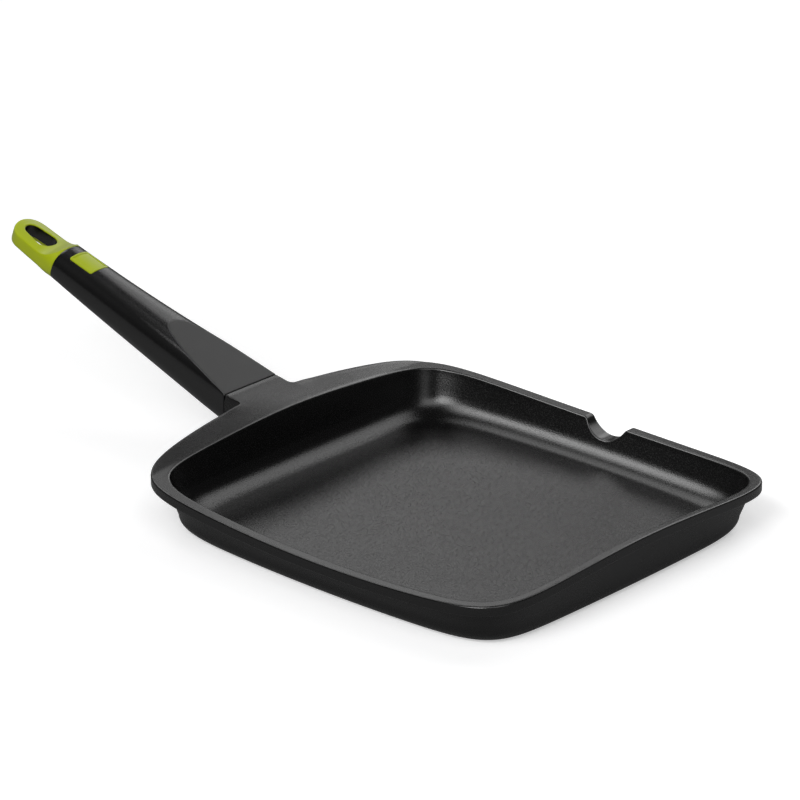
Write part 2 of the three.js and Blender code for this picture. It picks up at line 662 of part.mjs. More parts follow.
function handleGrip() {
  const tongue = tailLoft(CAP_WALL + CAP_FIT, CAP_WALL).intersect(underCapFace(CAP_FACE_WALL + CAP_FIT));
  return gripLoft(SEAM_X + SEAM_OUT, JOINT_X, GRIP_STEPS, 0)
    .subtract(aboveFacet())
    .intersect(halfSpace(-FAR, SEAM_X))
    .add(tongue)
    .subtract(slotPrism(SLOT_STEP))
    .subtract(badgeRecess())
    .subtract(tangLoft(TANG_FIT))
    .subtract(rod(CLEAR_RADIUS, SEAT_LEVEL - SEAT_GAP, TANG_UNDER))
    .subtract(rod(HEAD_POCKET_RADIUS, SEAT_LEVEL - 2 * SEAM_HALF_HEIGHT, SEAT_LEVEL));
}

function endCap() {
  return tailLoft(0, 0)
    .intersect(underCapFace(0))
    .subtract(tailLoft(CAP_WALL, CAP_FIT).intersect(underCapFace(CAP_FACE_WALL)))
    .subtract(slotPrism(0));
}

function mesh(name, body, colour, roughness, metalness) {
  const material = new THREE.MeshStandardMaterial({ color: colour, roughness, metalness });
  const piece = new THREE.Mesh(geometryOf(body), material);
  piece.name = name;
  return piece;
}

const griddle = new THREE.Group();
griddle.add(
  mesh('pan_casting', panCasting(), '#3b3b3c', 0.55, 0.2),
  mesh('handle_grip', handleGrip(), '#1d1d1f', 0.5, 0),
  mesh('end_cap', endCap(), '#a3b52a', 0.4, 0),
  mesh('badge_plate', badgePlate(), '#a9bb2c', 0.4, 0),
  mesh('handle_screw', handleScrew(), '#b9bcc0', 0.35, 0.9),
  mesh('spring_washer', springWasher(), '#a7aaad', 0.4, 0.9),
);

export default griddle;
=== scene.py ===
"""Square griddle pan with a lime-tipped handle.

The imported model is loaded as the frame. Each piece is modelled over its CAD node, in metres, and the
stage, the light and the camera follow the photograph.
"""

import math
from typing import NamedTuple

import bmesh
import bpy
from bpy.props import FloatProperty, FloatVectorProperty, PointerProperty
from mathutils import Matrix, Vector


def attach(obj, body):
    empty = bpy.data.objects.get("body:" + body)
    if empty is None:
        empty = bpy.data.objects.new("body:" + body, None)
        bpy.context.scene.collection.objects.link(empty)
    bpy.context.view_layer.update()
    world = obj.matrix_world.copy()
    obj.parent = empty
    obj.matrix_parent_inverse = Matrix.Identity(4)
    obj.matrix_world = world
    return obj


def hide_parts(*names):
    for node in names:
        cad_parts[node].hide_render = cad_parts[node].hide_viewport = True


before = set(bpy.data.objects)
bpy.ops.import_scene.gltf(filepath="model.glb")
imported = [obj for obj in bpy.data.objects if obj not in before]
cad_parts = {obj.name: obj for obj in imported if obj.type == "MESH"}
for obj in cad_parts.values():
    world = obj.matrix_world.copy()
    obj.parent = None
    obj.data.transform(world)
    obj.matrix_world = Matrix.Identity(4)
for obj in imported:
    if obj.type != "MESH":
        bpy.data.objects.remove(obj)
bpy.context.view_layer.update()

bl_info = {
    "name": "Griddle Pan",
    "version": (1, 0, 0),
    "blender": (4, 5, 0),
    "location": "View3D > Sidebar > Griddle Pan",
    "description": "Models a square griddle pan with a fixed handle, and its studio stage",
    "category": "Object",
}

MM = 0.001
QUARTER = math.pi / 2

# Plan of the rim: squareness is a superellipse power, a bow is how far an edge curves in at its ends
OPENING_SQUARENESS = 9
OPENING_SIDE_BOW = 7.3 * MM
OPENING_FRONT_BOW = 3 * MM
FLANGE_SQUARENESS = 9.9
FLANGE_SIDE_BOW = 9.8 * MM
FLANGE_FRONT_BOW = 3.5 * MM
FLANGE_HANDLE_BOW = 16 * MM

# Rim height beyond the mean: the handle end lifts and the four corners drop
RIM_HANDLE_LIFT = 1.5 * MM
RIM_CORNER_DROP = 0.9 * MM

# Roundings and drafts of the casting
RIM_EDGE = 0.9 * MM
RIM_BEAD = 1.1 * MM
BEAD_OUTSIDE = 0.6 * MM
WALL_INSET = RIM_BEAD - BEAD_OUTSIDE
UNDER_FILLET = 2 * MM
BASE_RADIUS = 10 * MM
BASE_INSET = 4 * MM
NOTCH_X = 2.5 * MM
NOTCH_LIP = 3 * MM
SPOUT_WALL = 4 * MM

# Neck between flange and grip
SEAM_OUT = 13.9 * MM
SEAM_GAP = 0.5 * MM
SEAM_EDGE = 0.5 * MM
NECK_SLOPE = 0.13
NECK_FILLET = 3.4 * MM
NECK_CORNER = 0.8 * MM
NECK_FLAT_FROM = 148 * MM
NECK_FLAT_OVER = 20 * MM
NECK_FLAT_WITHIN = 22 * MM
NECK_FLAT_UNTIL = 42 * MM
FOOT_SHARE = 0.86
SEAM_BULGE_POWER = 8

# How far each part of the neck spreads along the opening's edge, over the neck's half width
SEAM_SHARE = 0.8
CORNER_SHARE = 0.83
SIDE_SHARE = 0.9
FILLET_SHARE = 1.01

# Grip line and sections
FACET_SLOPE = 0.3705
FACET_EDGE = 0.9 * MM
AXIS_DROP = 8.2 * MM
AXIS_RISE_MID = 21.7 * MM
AXIS_RISE = 47.8 * MM
SEAM_POWER = 3.4
MID_TOP_POWER = 2.9
MID_LOW_POWER = 2.6
JOINT_TOP_POWER = 2.2
JOINT_LOW_POWER = 3.2
TILT_OVER = 0.12

# Tail, cap and hanging slot
CAP_ROUND = 11 * MM
CAP_ROUND_POWER = 2.4
CAP_TIP_HALF_WIDTH = 1 * MM
CAP_TIP_THINNING = 3.6 * MM
CAP_TIP_LOW_THINNING = 1.5 * MM
CAP_THINNING_POWER = 4
CAP_NARROWING = 1.9 * MM
CAP_LOW_HEIGHT = 7.3 * MM
CAP_LOW_POWER = 8
CAP_FLATTEN = 14 * MM
CAP_WALL = 1.8 * MM
CAP_FACE_WALL = 0.9 * MM
CAP_FIT = 0.3 * MM
CAP_FACE_START = 8.5 * MM
CAP_FACE_DROP = 7.5 * MM
CAP_FACE_SLOPE = 0.333
CAP_FACE_CURVE = 1 / (40 * MM)
CAP_SCOOP = 3.5 * MM
CAP_EDGE = 0.6 * MM
CAP_LIP = 0.35 * MM
JOINT_GAP = 0.02 * MM
SLOT_START = 3.1 * MM
SLOT_ROOT_RADIUS = 7.2 * MM
SLOT_TIP_RADIUS = 5.6 * MM
SLOT_STEP = 0.4 * MM
SLOT_ROUND = 0.6 * MM

# Badge inlay
BADGE_FROM_JOINT = 16.8 * MM
BADGE_CORNER = 1.1 * MM
BADGE_DEPTH = 1.9 * MM
BADGE_PROUD = 0.35 * MM
BADGE_EDGE = 0.3 * MM
BADGE_BORDER = 1.6 * MM
BADGE_PANEL_DEPTH = 0.5 * MM
BADGE_FIT = 0.3 * MM

# Screw and washer, on an axis square to the grip's centre line
SCREW_FROM_SEAM = 22 * MM
SCREW_RADIUS = 3 * MM
SCREW_HEAD_RADIUS = 5.25 * MM
SCREW_HEAD_HEIGHT = 3.2 * MM
SCREW_HEAD_FLAT = 4.2 * MM
SCREW_DRIVE = 2 * MM
SCREW_DRIVE_DEPTH = 1.8 * MM
SCREW_DRIVE_EDGE = 0.15 * MM
SCREW_HEAD_EDGE = 0.2 * MM
SCREW_FIT = 0.25 * MM
SCREW_SEAT = 10.2 * MM
SCREW_SHANK = 14 * MM
WASHER_RADIUS = 5 * MM
WASHER_THICKNESS = 1.4 * MM
WASHER_SPLIT = math.radians(12)
SEAT_GAP = 0.2 * MM

# Places of the rings: insets on the flat underside and the flat floor, shares of the other faces
UNDER_INSETS = 90 * MM, 40 * MM
FLOOR_INSETS = 45 * MM, 90 * MM
FLAT_MARGIN = 3 * MM
OUTER_WALL_SHARES = 0.34, 0.67
UNDER_SHARES = 0.33, 0.67, 1.0
SIDE_SHARES = 0.2, 0.4, 0.6, 0.8
TOP_SHARES = 0.1, 0.25, 0.4, 0.55, 0.7, 0.85, 1.0
INNER_WALL_SHARES = 0.25, 0.5, 0.75
BADGE_SCALES = 1.0, 0.9, 0.7, 0.5, 0.3, 0.1

# How far a small rounded edge is cut back at its middle, and how many depths a cutter reaches out
MID_ROUND = 0.3
CUT_REACH = 3

# Corners of a cut section: the least rounding, and the angle in which points crowd
CORNER_LEAST = 0.02 * MM
CROWD_SPREAD = 2.2
CROWD_MOST = 0.2

# Point and step counts
HALVINGS = 32
LEVEL_STEPS = 12
RIM_COLUMNS = 300
SEAM_STEPS = 14
CORNER_STEPS = 4
SIDE_STEPS = 5
FILLET_STEPS = 8
BASE_STEPS = 9
EDGE_STEPS = 4
LOW_EDGE_STEPS = 3
GRIP_EDGE_STEPS = 3
BEAD_STEPS = 5
COVE_STEPS = 14
CORNER_CROWDING = 0.5
NOTCH_COLUMNS = 54
NOTCH_REACH = 25 * MM
GRIP_RINGS = 110
CAP_RINGS = 44
TIP_RINGS = 18
SECTION_LOW = 40
SECTION_CORNER = 8
SECTION_TOP = 18
ARC_STEPS = 20
BADGE_STEPS = 8
ROUND_STEPS = 6
SCREW_SIDES = 48
WASHER_STEPS = 60

# Angles in degrees below which neighbouring faces are shaded as one
CAST_SMOOTH = 50
MOULD_SMOOTH = 40
STEEL_SMOOTH = 35

# Camera: where it stands round the object, and how the photograph is framed
CAMERA_AZIMUTH = math.radians(42.15)
CAMERA_ELEVATION = math.radians(22.41)
CAMERA_DISTANCE = 2863.66 * MM
FRAME_RIGHT = 36.3 * MM
FRAME_DOWN = 76.95 * MM
SENSOR_WIDTH = 36.0
LENS = 214.08
CAMERA_REACH = 100

# Far panels of the studio, in degrees as seen from the pan: azimuth, elevation, width and height
PANELS = {
    "right": (79, 47, 36, 22),
    "left": (163, 46, 24, 22),
    "back": (140.5, 26, 23, 13.5),
    "middle": (115.5, 31, 13.5, 30),
    "front": (318, 52, 50, 30),
    "side": (338, 22, 22, 30),
    "handle": (281, 35, 28, 32),
}
PANEL_DISTANCE = 4.0

# Near panel, with a grid that keeps its light off the grip
NEAR_PLACE = Vector((-0.178, -0.084, 0.266))
NEAR_AIM = Vector((0.03, 0.15, 0.01))
NEAR_SIZE = 0.24, 0.18
NEAR_SPREAD = math.radians(60)

# Floor: the light it gives of its own, and its colour's share off camera. Gloss sees a share of the backdrop
FLOOR_SIZE = 12
FLOOR_GLOW = 0.45
FLOOR_DIM = 0.3
GLOSS_SHARE = 0.03


def length(name, description, default):
    """A length that a user may change."""
    return FloatProperty(name=name, description=description, default=default, min=0.0, unit="LENGTH")


def colour(name, description, default):
    """A colour that a user may change."""
    return FloatVectorProperty(name=name, description=description, default=default, size=3,
                               min=0.0, max=1.0, subtype="COLOR")


def brightness(name, description, default):
    """A brightness that a user may change."""
    return FloatProperty(name=name, description=description, default=default, min=0.0)


class PanSizes(bpy.types.PropertyGroup):
    """Sizes of the cast pan."""

    opening_length: length("Opening length", "Inside edge of the rim, handle side to front", 0.279)
    opening_width: length("Opening width", "Inside edge of the rim, side to side", 0.2666)
    flange_front: length("Front flange", "Top width of the flange at the front", 0.0053)
    flange_side: length("Side flange", "Top width of the flange at the sides", 0.007)
    flange_handle: length("Handle flange", "Top width of the flange at the handle", 0.0212)
    flange_thickness: length("Flange thickness", "Depth of the flange's edge", 0.0065)
    rim_height: length("Rim height", "Mean height of the rim's top", 0.0327)
    rim_saddle: length("Rim saddle", "Rise at the handle and front, and fall at the sides", 0.006)
    floor: length("Floor thickness", "Metal under the cooking surface", 0.0045)
    cove_radius: length("Cove radius", "Rounding between wall and floor, inside", 0.017)
    floor_inset: length("Floor inset", "Rim's inside edge to the flat floor, in plan", 0.0205)
    notch_radius: length("Notch radius", "Radius of the pour notch", 0.0175)
    notch_depth: length("Notch depth", "Depth of the pour notch", 0.010)


class HandleSizes(bpy.types.PropertyGroup):
    """Sizes of the grip, its cap and its badge."""

    grip_length: length("Grip length", "Seam to cap joint, along the pan", 0.1614)
    seam_half_width: length("Seam half width", "Half width of the grip at the seam", 0.0237)
    mid_half_width: length("Middle half width", "Half width of the grip half way", 0.0174)
    joint_half_width: length("Joint half width", "Half width of the grip at the cap", 0.014)
    seam_half_height: length("Seam half height", "Half height of the grip at the seam", 0.0157)
    mid_top_height: length("Middle top height", "Centre line to the grip's top, half way", 0.0143)
    mid_low_height: length("Middle low height", "Centre line to the grip's underside, half way", 0.014)
    joint_top_height: length("Joint top height", "Centre line to the grip's top at the cap", 0.0121)
    joint_low_height: length("Joint low height", "Centre line to the grip's underside at the cap", 0.00985)
    cap_length: length("Cap length", "Cap joint to tip, along the pan", 0.0422)
    slot_length: length("Slot length", "Length of the hanging slot", 0.025)
    badge_length: length("Badge length", "Length of the badge, along the grip", 0.0202)
    badge_width: length("Badge width", "Width of the badge, across the grip", 0.0158)


class Finishes(bpy.types.PropertyGroup):
    """Colours of the pieces."""

    coat: colour("Coat", "Non-stick coat of the casting", (0.0012, 0.0012, 0.0012))
    phenolic: colour("Grip", "Moulded grip", (0.0012, 0.0012, 0.0013))
    lime: colour("Lime", "End cap and badge", (0.40, 0.48, 0.004))
    steel: colour("Steel", "Screw and washer", (0.56, 0.57, 0.58))
    table: colour("Floor", "Studio floor", (0.80, 0.80, 0.805))


class StageLight(bpy.types.PropertyGroup):
    """Brightness of the studio."""

    right: brightness("Right panel", "Radiance of the high panel behind the pan, on the right", 2.0)
    left: brightness("Left panel", "Radiance of the high panel behind the handle", 2.1)
    back: brightness("Back panel", "Radiance of the low panel behind the pan", 1.25)
    middle: brightness("Middle panel", "Radiance of the narrow panel behind the pan", 2.4)
    front: brightness("Front panel", "Radiance of the panel above the camera", 2.0)
    handle: brightness("Handle panel", "Radiance of the panel on the handle's near side", 6.5)
    near: brightness("Near panel", "Radiance of the small gridded panel over the neck", 0.8)
    side: brightness("Side panel", "Radiance of the low panel right of the camera", 1.0)
    room: brightness("Room", "Radiance of the room all round", 0.02)


# Plain maths

def lerp(start, end, share):
    return start + (end - start) * share


def smoothstep(low, high, value):
    share = min(max((value - low) / (high - low), 0.0), 1.0)
    return share * share * (3 - 2 * share)


def soft_min(a, b, reach):
    """The smaller of two values, rounded where they cross."""
    share = max(reach - abs(a - b), 0.0) / reach
    return min(a, b) - share * share * reach / 4


def shares(count):
    """Even shares from 0 to 1."""
    return [i / count for i in range(count + 1)]


def turns(count):
    """Even turns over a quarter circle."""
    return [QUARTER * share for share in shares(count)]


def at(point, z):
    """A point of the plan at height z."""
    return Vector((point.x, point.y, z))


def last_inside(low, high, inside):
    """Halves a range, down to the last value that is inside."""
    for _ in range(HALVINGS):
        middle = (low + high) / 2
        if inside(middle):
            low = middle
        else:
            high = middle
    return low


def through(start, middle, end):
    """Quadratic through three values at 0, 1/2 and 1."""
    bend = 2 * (start + end - 2 * middle)
    return lambda u: start + (end - start - bend) * u + bend * u * u


# Pan shape

class Plan:
    """A bowed superellipse in plan: the opening's edge or the flange's edge."""

    def __init__(self, handle, front, half_width, bows, power):
        self.handle = handle
        self.front = front
        self.half_width = half_width
        self.handle_bow, self.front_bow, self.side_bow = bows
        self.power = power

    def radius(self, angle, inset):
        cx, cy = math.cos(angle), math.sin(angle)
        end = (self.handle if cx < 0 else self.front) - inset
        bow = self.handle_bow if cx < 0 else self.front_bow
        width = self.half_width - inset

        def inside(r):
            x, y = abs(r * cx), abs(r * cy)
            reach_x = max(end - bow * (y / width) ** 2, MM)
            reach_y = max(width - self.side_bow * (x / end) ** 2, MM)
            return (x / reach_x) ** self.power + (y / reach_y) ** self.power < 1

        return last_inside(0.0, 2 * (end + width), inside)

    def point(self, angle, inset=0.0):
        r = self.radius(angle, inset)
        return Vector((r * math.cos(angle), r * math.sin(angle)))

    def handle_edge(self, y):
        """Where the handle-side edge is at y, near the middle."""
        return -(self.handle - self.handle_bow * (y / self.half_width) ** 2)


class PanShape:
    """Heights and plan curves of the casting."""

    def __init__(self, pan):
        self.pan = pan
        half_length, half_width = pan.opening_length / 2, pan.opening_width / 2
        self.opening = Plan(half_length, half_length, half_width,
                            (0.0, OPENING_FRONT_BOW, OPENING_SIDE_BOW), OPENING_SQUARENESS)
        self.flange = Plan(half_length + pan.flange_handle, half_length + pan.flange_front,
                           half_width + pan.flange_side,
                           (FLANGE_HANDLE_BOW, FLANGE_FRONT_BOW, FLANGE_SIDE_BOW), FLANGE_SQUARENESS)
        self.seam_x = -(self.flange.handle + SEAM_OUT)

    def rim_height(self, angle):
        return (self.pan.rim_height + self.pan.rim_saddle * math.cos(2 * angle)
                - RIM_HANDLE_LIFT * math.cos(angle) + RIM_CORNER_DROP * math.cos(4 * angle))

    def neck_rise(self, x):
        return NECK_SLOPE * max(-self.opening.handle - x, 0.0)

    def plain_top(self, x, y):
        """Top of the rim without the notch. It flattens across the neck towards the seam."""
        flat = smoothstep(NECK_FLAT_FROM, NECK_FLAT_FROM + NECK_FLAT_OVER, -x)
        flat *= 1 - smoothstep(NECK_FLAT_WITHIN, NECK_FLAT_UNTIL, abs(y))
        return self.rim_height(math.atan2(y * (1 - flat), x)) + self.neck_rise(x)

    def notch_dip(self, x):
        """How far the notch cuts below the rim's top at x."""
        across = abs(x - NOTCH_X)
        up = self.pan.notch_radius - self.pan.notch_depth
        reach = self.pan.notch_radius + NOTCH_LIP
        lip_x = math.sqrt(reach ** 2 - (up + NOTCH_LIP) ** 2)
        turn_x = lip_x * self.pan.notch_radius / reach
        if across < turn_x:
            return math.sqrt(self.pan.notch_radius ** 2 - across ** 2) - up
        if across < lip_x:
            return NOTCH_LIP - math.sqrt(NOTCH_LIP ** 2 - (lip_x - across) ** 2)
        return 0.0

    def collar_dip(self, x):
        """How far the metal round the notch reaches below the rim's top at x."""
        across = abs(x - NOTCH_X)
        radius = self.pan.notch_radius + SPOUT_WALL
        if across >= radius:
            return 0.0
        return math.sqrt(radius ** 2 - across ** 2) - self.pan.notch_radius + self.pan.notch_depth

    def top(self, x, y):
        return self.plain_top(x, y) - (self.notch_dip(x) if y > 0 else 0.0)

    def wall_lean(self, angle):
        """Angle of the inner wall from upright, so that it runs smoothly into the cove."""
        fall = self.rim_height(angle) - RIM_BEAD - self.pan.floor - self.pan.cove_radius
        run = self.pan.floor_inset - WALL_INSET
        return math.atan2(run, fall) - math.asin(self.pan.cove_radius / math.hypot(run, fall))

    def lip_inset(self, angle):
        """Where the rim's top meets the bead: further in where the notch cuts down the leaning wall."""
        edge = self.opening.point(angle)
        return (self.plain_top(*edge) - self.top(*edge)) * math.tan(self.wall_lean(angle)) - BEAD_OUTSIDE

    def under(self, x, y):
        """Underside of the flange."""
        depth = self.pan.flange_thickness
        if y > 0:
            depth = max(depth, self.collar_dip(x))
        return self.plain_top(x, y) - depth


# Handle line

class HandleLine:
    """Centre line and sections of the handle, from the seam (u 0) to the cap joint (u 1)."""

    def __init__(self, shape, handle):
        self.handle = handle
        self.seam_x = shape.seam_x
        self.joint_x = shape.seam_x - handle.grip_length
        self.facet_z = shape.rim_height(math.pi) + shape.neck_rise(shape.seam_x)
        start = self.facet_z - AXIS_DROP
        self.height = through(start, start + AXIS_RISE_MID, start + AXIS_RISE)
        self.half_width = through(handle.seam_half_width, handle.mid_half_width, handle.joint_half_width)
        self.top = through(handle.seam_half_height, handle.mid_top_height, handle.joint_top_height)
        self.low = through(handle.seam_half_height, handle.mid_low_height, handle.joint_low_height)
        self.top_power = through(SEAM_POWER, MID_TOP_POWER, JOINT_TOP_POWER)
        self.low_power = through(SEAM_POWER, MID_LOW_POWER, JOINT_LOW_POWER)

    def share(self, x):
        return (self.seam_x - x) / self.handle.grip_length

    def axis_z(self, x):
        return self.height(self.share(x))

    def slope(self, x):
        step = 0.1 * MM
        return (self.axis_z(x - step) - self.axis_z(x + step)) / (2 * step)

    def origin(self, x):
        return Vector((x, 0.0, self.axis_z(x)))

    def up(self, x):
        return Vector((self.slope(x), 0.0, 1.0)).normalized()

    def forward(self, x):
        return Vector((-1.0, 0.0, self.slope(x))).normalized()

    def facet_level(self, origin, up):
        """Height of the thumb facet above the centre line, along up."""
        plane = self.facet_z + FACET_SLOPE * (self.seam_x - origin.x)
        return (plane - origin.z) / (up.z + FACET_SLOPE * up.x)

    def on_surface(self, x, across, lift):
        """A point on the grip's top, lifted square to the centre line."""
        u = self.share(x)
        fill = 1 - abs(across / self.half_width(u)) ** self.top_power(u)
        level = self.top(u) * max(fill, 0.0) ** (1 / self.top_power(u))
        point = self.origin(x) + self.up(x) * (level + lift)
        point.y = across
        return point


class Section(NamedTuple):
    """A superellipse across the handle. Its top and low halves are pairs: height and squareness."""

    half_width: float
    top: tuple
    low: tuple

    def radius(self, angle):
        height, power = self.top if math.sin(angle) > 0 else self.low
        across = abs(math.cos(angle)) / self.half_width
        rise = abs(math.sin(angle)) / height
        return (across ** power + rise ** power) ** (-1 / power)

    def corner(self, level, curve):
        """Angle at which a cut top leaves the section's side."""
        return last_inside(0.0, QUARTER, lambda a: self.radius(a) < cut_radius(level, curve, a))

    def edge_sine(self, angle, curve):
        """Sine of the angle between the side and a cut top, where they meet."""
        height, power = self.top
        across = self.radius(angle) * math.cos(angle)
        rise = self.radius(angle) * math.sin(angle)
        side = Vector(((across / self.half_width) ** (power - 1) / self.half_width,
                       (rise / height) ** (power - 1) / height))
        return abs(side.normalized().cross(Vector((curve * across, 1.0)).normalized()))


def cut_radius(level, curve, angle):
    """Distance to a top that is cut at level and curves down to the sides."""
    rise = math.sin(angle)
    bend = curve * math.cos(angle) ** 2 / 2
    return 2 * level / (rise + math.sqrt(rise * rise + 4 * bend * level))


def section_angles(corner, spread):
    """Half a section's angles, bottom to top, crowded where the flat top begins."""
    corner = min(corner, QUARTER - 2 * spread)
    stops = ((-QUARTER, corner - spread, SECTION_LOW), (corner - spread, corner + spread, SECTION_CORNER),
             (corner + spread, QUARTER, SECTION_TOP))
    angles = [lerp(low, high, share) for low, high, count in stops for share in shares(count)[:-1]]
    return angles + [QUARTER]


def cut_section(origin, up, section, level, curve, rounding):
    """A ring round the handle: a section whose top is cut at level, with rounded corners."""
    corner = section.corner(level, curve)
    reach = max(rounding * section.edge_sine(corner, curve), CORNER_LEAST)
    spread = min(CROWD_SPREAD * rounding / section.half_width, CROWD_MOST)
    right = section_angles(corner, spread)
    angles = right + [math.pi - a for a in reversed(right[1:-1])]
    ring = []
    for angle in angles:
        r = section.radius(angle)
        if math.sin(angle) > 0:
            r = soft_min(r, cut_radius(level, curve, angle), reach)
        point = origin + up * (r * math.sin(angle))
        point.y = r * math.cos(angle)
        ring.append(point)
    return ring


# Modelling helpers

RING_MARKS = ("ring_place", "ring_number")


def deselect():
    if bpy.context.object and bpy.context.object.mode != "OBJECT":
        bpy.ops.object.mode_set(mode="OBJECT")
    bpy.ops.object.select_all(action="DESELECT")


def activate(piece):
    deselect()
    piece.select_set(True)
    bpy.context.view_layer.objects.active = piece


def set_ring(piece, points, number):
    """Moves the selected ring's points to their places and numbers the ring."""
    mesh = bmesh.from_edit_mesh(piece.data)
    place, ring = (mesh.verts.layers.int[name] for name in RING_MARKS)
    for vert in mesh.verts:
        if vert.select:
            vert.co = points[vert[place]]
            vert[ring] = number
    bmesh.update_edit_mesh(piece.data)


def change_finish(piece, from_ring):
    """Gives the faces beyond a ring the piece's second material."""
    mesh = bmesh.from_edit_mesh(piece.data)
    ring = mesh.verts.layers.int[RING_MARKS[1]]
    for face in mesh.faces:
        face.material_index = int(min(vert[ring] for vert in face.verts) >= from_ring)
    bmesh.update_edit_mesh(piece.data)


def skin(name, rings, finish_from=None):
    """Extrudes a circle through the rings, closes both ends and turns the faces outwards."""
    deselect()
    count = len(rings[0])
    bpy.ops.mesh.primitive_circle_add(vertices=count, radius=0.1)
    piece = bpy.context.object
    piece.name = name
    piece.data.name = name
    for mark in RING_MARKS:
        piece.data.attributes.new(mark, "INT", "POINT")
    piece.data.attributes[RING_MARKS[0]].data.foreach_set("value", list(range(count)))
    bpy.ops.object.mode_set(mode="EDIT")
    bpy.ops.mesh.select_mode(type="EDGE")
    bpy.ops.mesh.select_all(action="SELECT")
    set_ring(piece, rings[0], 0)
    for number, points in enumerate(rings[1:], 1):
        bpy.ops.mesh.extrude_edges_indiv()
        set_ring(piece, points, number)
    bpy.ops.mesh.edge_face_add()
    bpy.ops.mesh.select_all(action="DESELECT")
    bpy.ops.mesh.select_non_manifold(extend=False, use_wire=False, use_multi_face=False,
                                     use_non_contiguous=False, use_verts=False)
    bpy.ops.mesh.edge_face_add()
    bpy.ops.mesh.select_all(action="SELECT")
    bpy.ops.mesh.normals_make_consistent(inside=False)
    if finish_from is not None:
        change_finish(piece, finish_from)
    bpy.ops.object.mode_set(mode="OBJECT")
    for mark in RING_MARKS:
        piece.data.attributes.remove(piece.data.attributes[mark])
    return piece


def smooth(piece, degrees):
    activate(piece)
    bpy.ops.object.shade_smooth_by_angle(angle=math.radians(degrees))


def cut(piece, cutter):
    """Cuts one closed shape out of another with a Boolean modifier."""
    activate(piece)
    bpy.ops.object.modifier_add(type="BOOLEAN")
    modifier = piece.modifiers[-1]
    modifier.operation = "DIFFERENCE"
    modifier.solver = "EXACT"
    modifier.object = cutter
    bpy.ops.object.modifier_apply(modifier=modifier.name)
    bpy.data.objects.remove(cutter, do_unlink=True)


def settle(piece, node, slot, *materials):
    """Puts a finished piece in the frame in place of its CAD node."""
    for material in materials:
        piece.data.materials.append(material)
    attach(piece, "root")
    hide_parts(node)


# Casting

class Column(NamedTuple):
    """One line over the casting, from the underside to the floor."""

    angle: float
    edge: Vector
    inward: Vector
    foot: Vector
    wall_z: float
    bulge: float = 0.0


def flange_column(shape, angle):
    """A column over the plain flange."""
    edge = shape.flange.point(angle)
    inward = (shape.flange.point(angle, RIM_EDGE) - edge) / RIM_EDGE
    wall = shape.opening.point(angle, -UNDER_FILLET)
    return Column(angle, edge, inward, at(edge, shape.under(*edge)), shape.under(*wall))


class Neck:
    """The neck: the grip's seam section, carried back into the pan's wall."""

    def __init__(self, shape, line):
        self.shape = shape
        self.line = line
        self.half_width = line.half_width(0)
        self.half_height = line.top(0) / line.up(line.seam_x).z
        self.seam_x = shape.seam_x + SEAM_GAP

    def width_at(self, x, z):
        """Half width of the neck's section at height z."""
        level = min(abs(z - self.line.axis_z(x)) / self.half_height, 1.0)
        return self.half_width * (1 - level ** SEAM_POWER) ** (1 / SEAM_POWER)

    def under(self, x, y):
        """Underside of the neck."""
        across = min(abs(y) / self.half_width, FOOT_SHARE)
        return self.line.axis_z(x) - self.half_height * (1 - across ** SEAM_POWER) ** (1 / SEAM_POWER)

    def top_width(self, x):
        return self.width_at(x, self.shape.plain_top(x, 0.0))

    def column(self, y_open, edge, inward, bulge, flange_share=0.0, foot_y=None):
        """A column over the neck. flange_share rises to 1 where the fillet meets the flange."""
        shape = self.shape
        angle = math.atan2(y_open, -shape.opening.handle)
        wall = shape.opening.point(angle, -UNDER_FILLET)
        share = smoothstep(0, 1, flange_share)
        foot_y = self.half_width * FOOT_SHARE if foot_y is None else foot_y
        foot = Vector((edge.x, foot_y, self.under(edge.x, foot_y)))
        foot = foot.lerp(at(edge, shape.under(*edge)), share)
        wall_z = lerp(self.under(wall.x, y_open), shape.under(*wall), share)
        return Column(angle, edge, inward, foot, wall_z, bulge)

    def half(self):
        """Columns from the middle of the seam to where the fillet meets the flange's edge."""
        width = self.top_width(self.seam_x)
        corner = Vector((self.seam_x + NECK_CORNER, width - NECK_CORNER))
        end_x = self.shape.flange.handle_edge(width + NECK_FILLET) - NECK_FILLET
        fillet = Vector((end_x, self.top_width(end_x) + NECK_FILLET))
        columns = []
        for share in shares(SEAM_STEPS)[:-1]:
            y = (width - NECK_CORNER) * share
            foot_y = y * FOOT_SHARE * self.half_width / width
            columns.append(self.column(SEAM_SHARE * y, Vector((self.seam_x, y)), Vector((1, 0)),
                                       (y / width) ** SEAM_BULGE_POWER, 0.0, foot_y))
        for share in shares(CORNER_STEPS)[:-1]:
            inward = Vector((math.cos(QUARTER * share), -math.sin(QUARTER * share)))
            columns.append(self.column(width * lerp(SEAM_SHARE, CORNER_SHARE, share),
                                       corner - inward * NECK_CORNER, inward, 1.0))
        for share in shares(SIDE_STEPS)[:-1]:
            x = lerp(self.seam_x + NECK_CORNER, end_x, share)
            columns.append(self.column(width * lerp(CORNER_SHARE, SIDE_SHARE, share),
                                       Vector((x, self.top_width(x))), Vector((0, -1)), 1.0))
        for share in shares(FILLET_STEPS):
            inward = Vector((math.sin(QUARTER * share), -math.cos(QUARTER * share)))
            columns.append(self.column(width * lerp(SIDE_SHARE, FILLET_SHARE, share),
                                       fillet + inward * NECK_FILLET, inward, 1 - share, share))
        return columns


def mirrored(column):
    """The same column on the other side of the neck."""
    flip = Vector((1, -1))
    return Column(-column.angle, column.edge * flip, column.inward * flip,
                  column.foot * Vector((1, -1, 1)), column.wall_z, column.bulge)


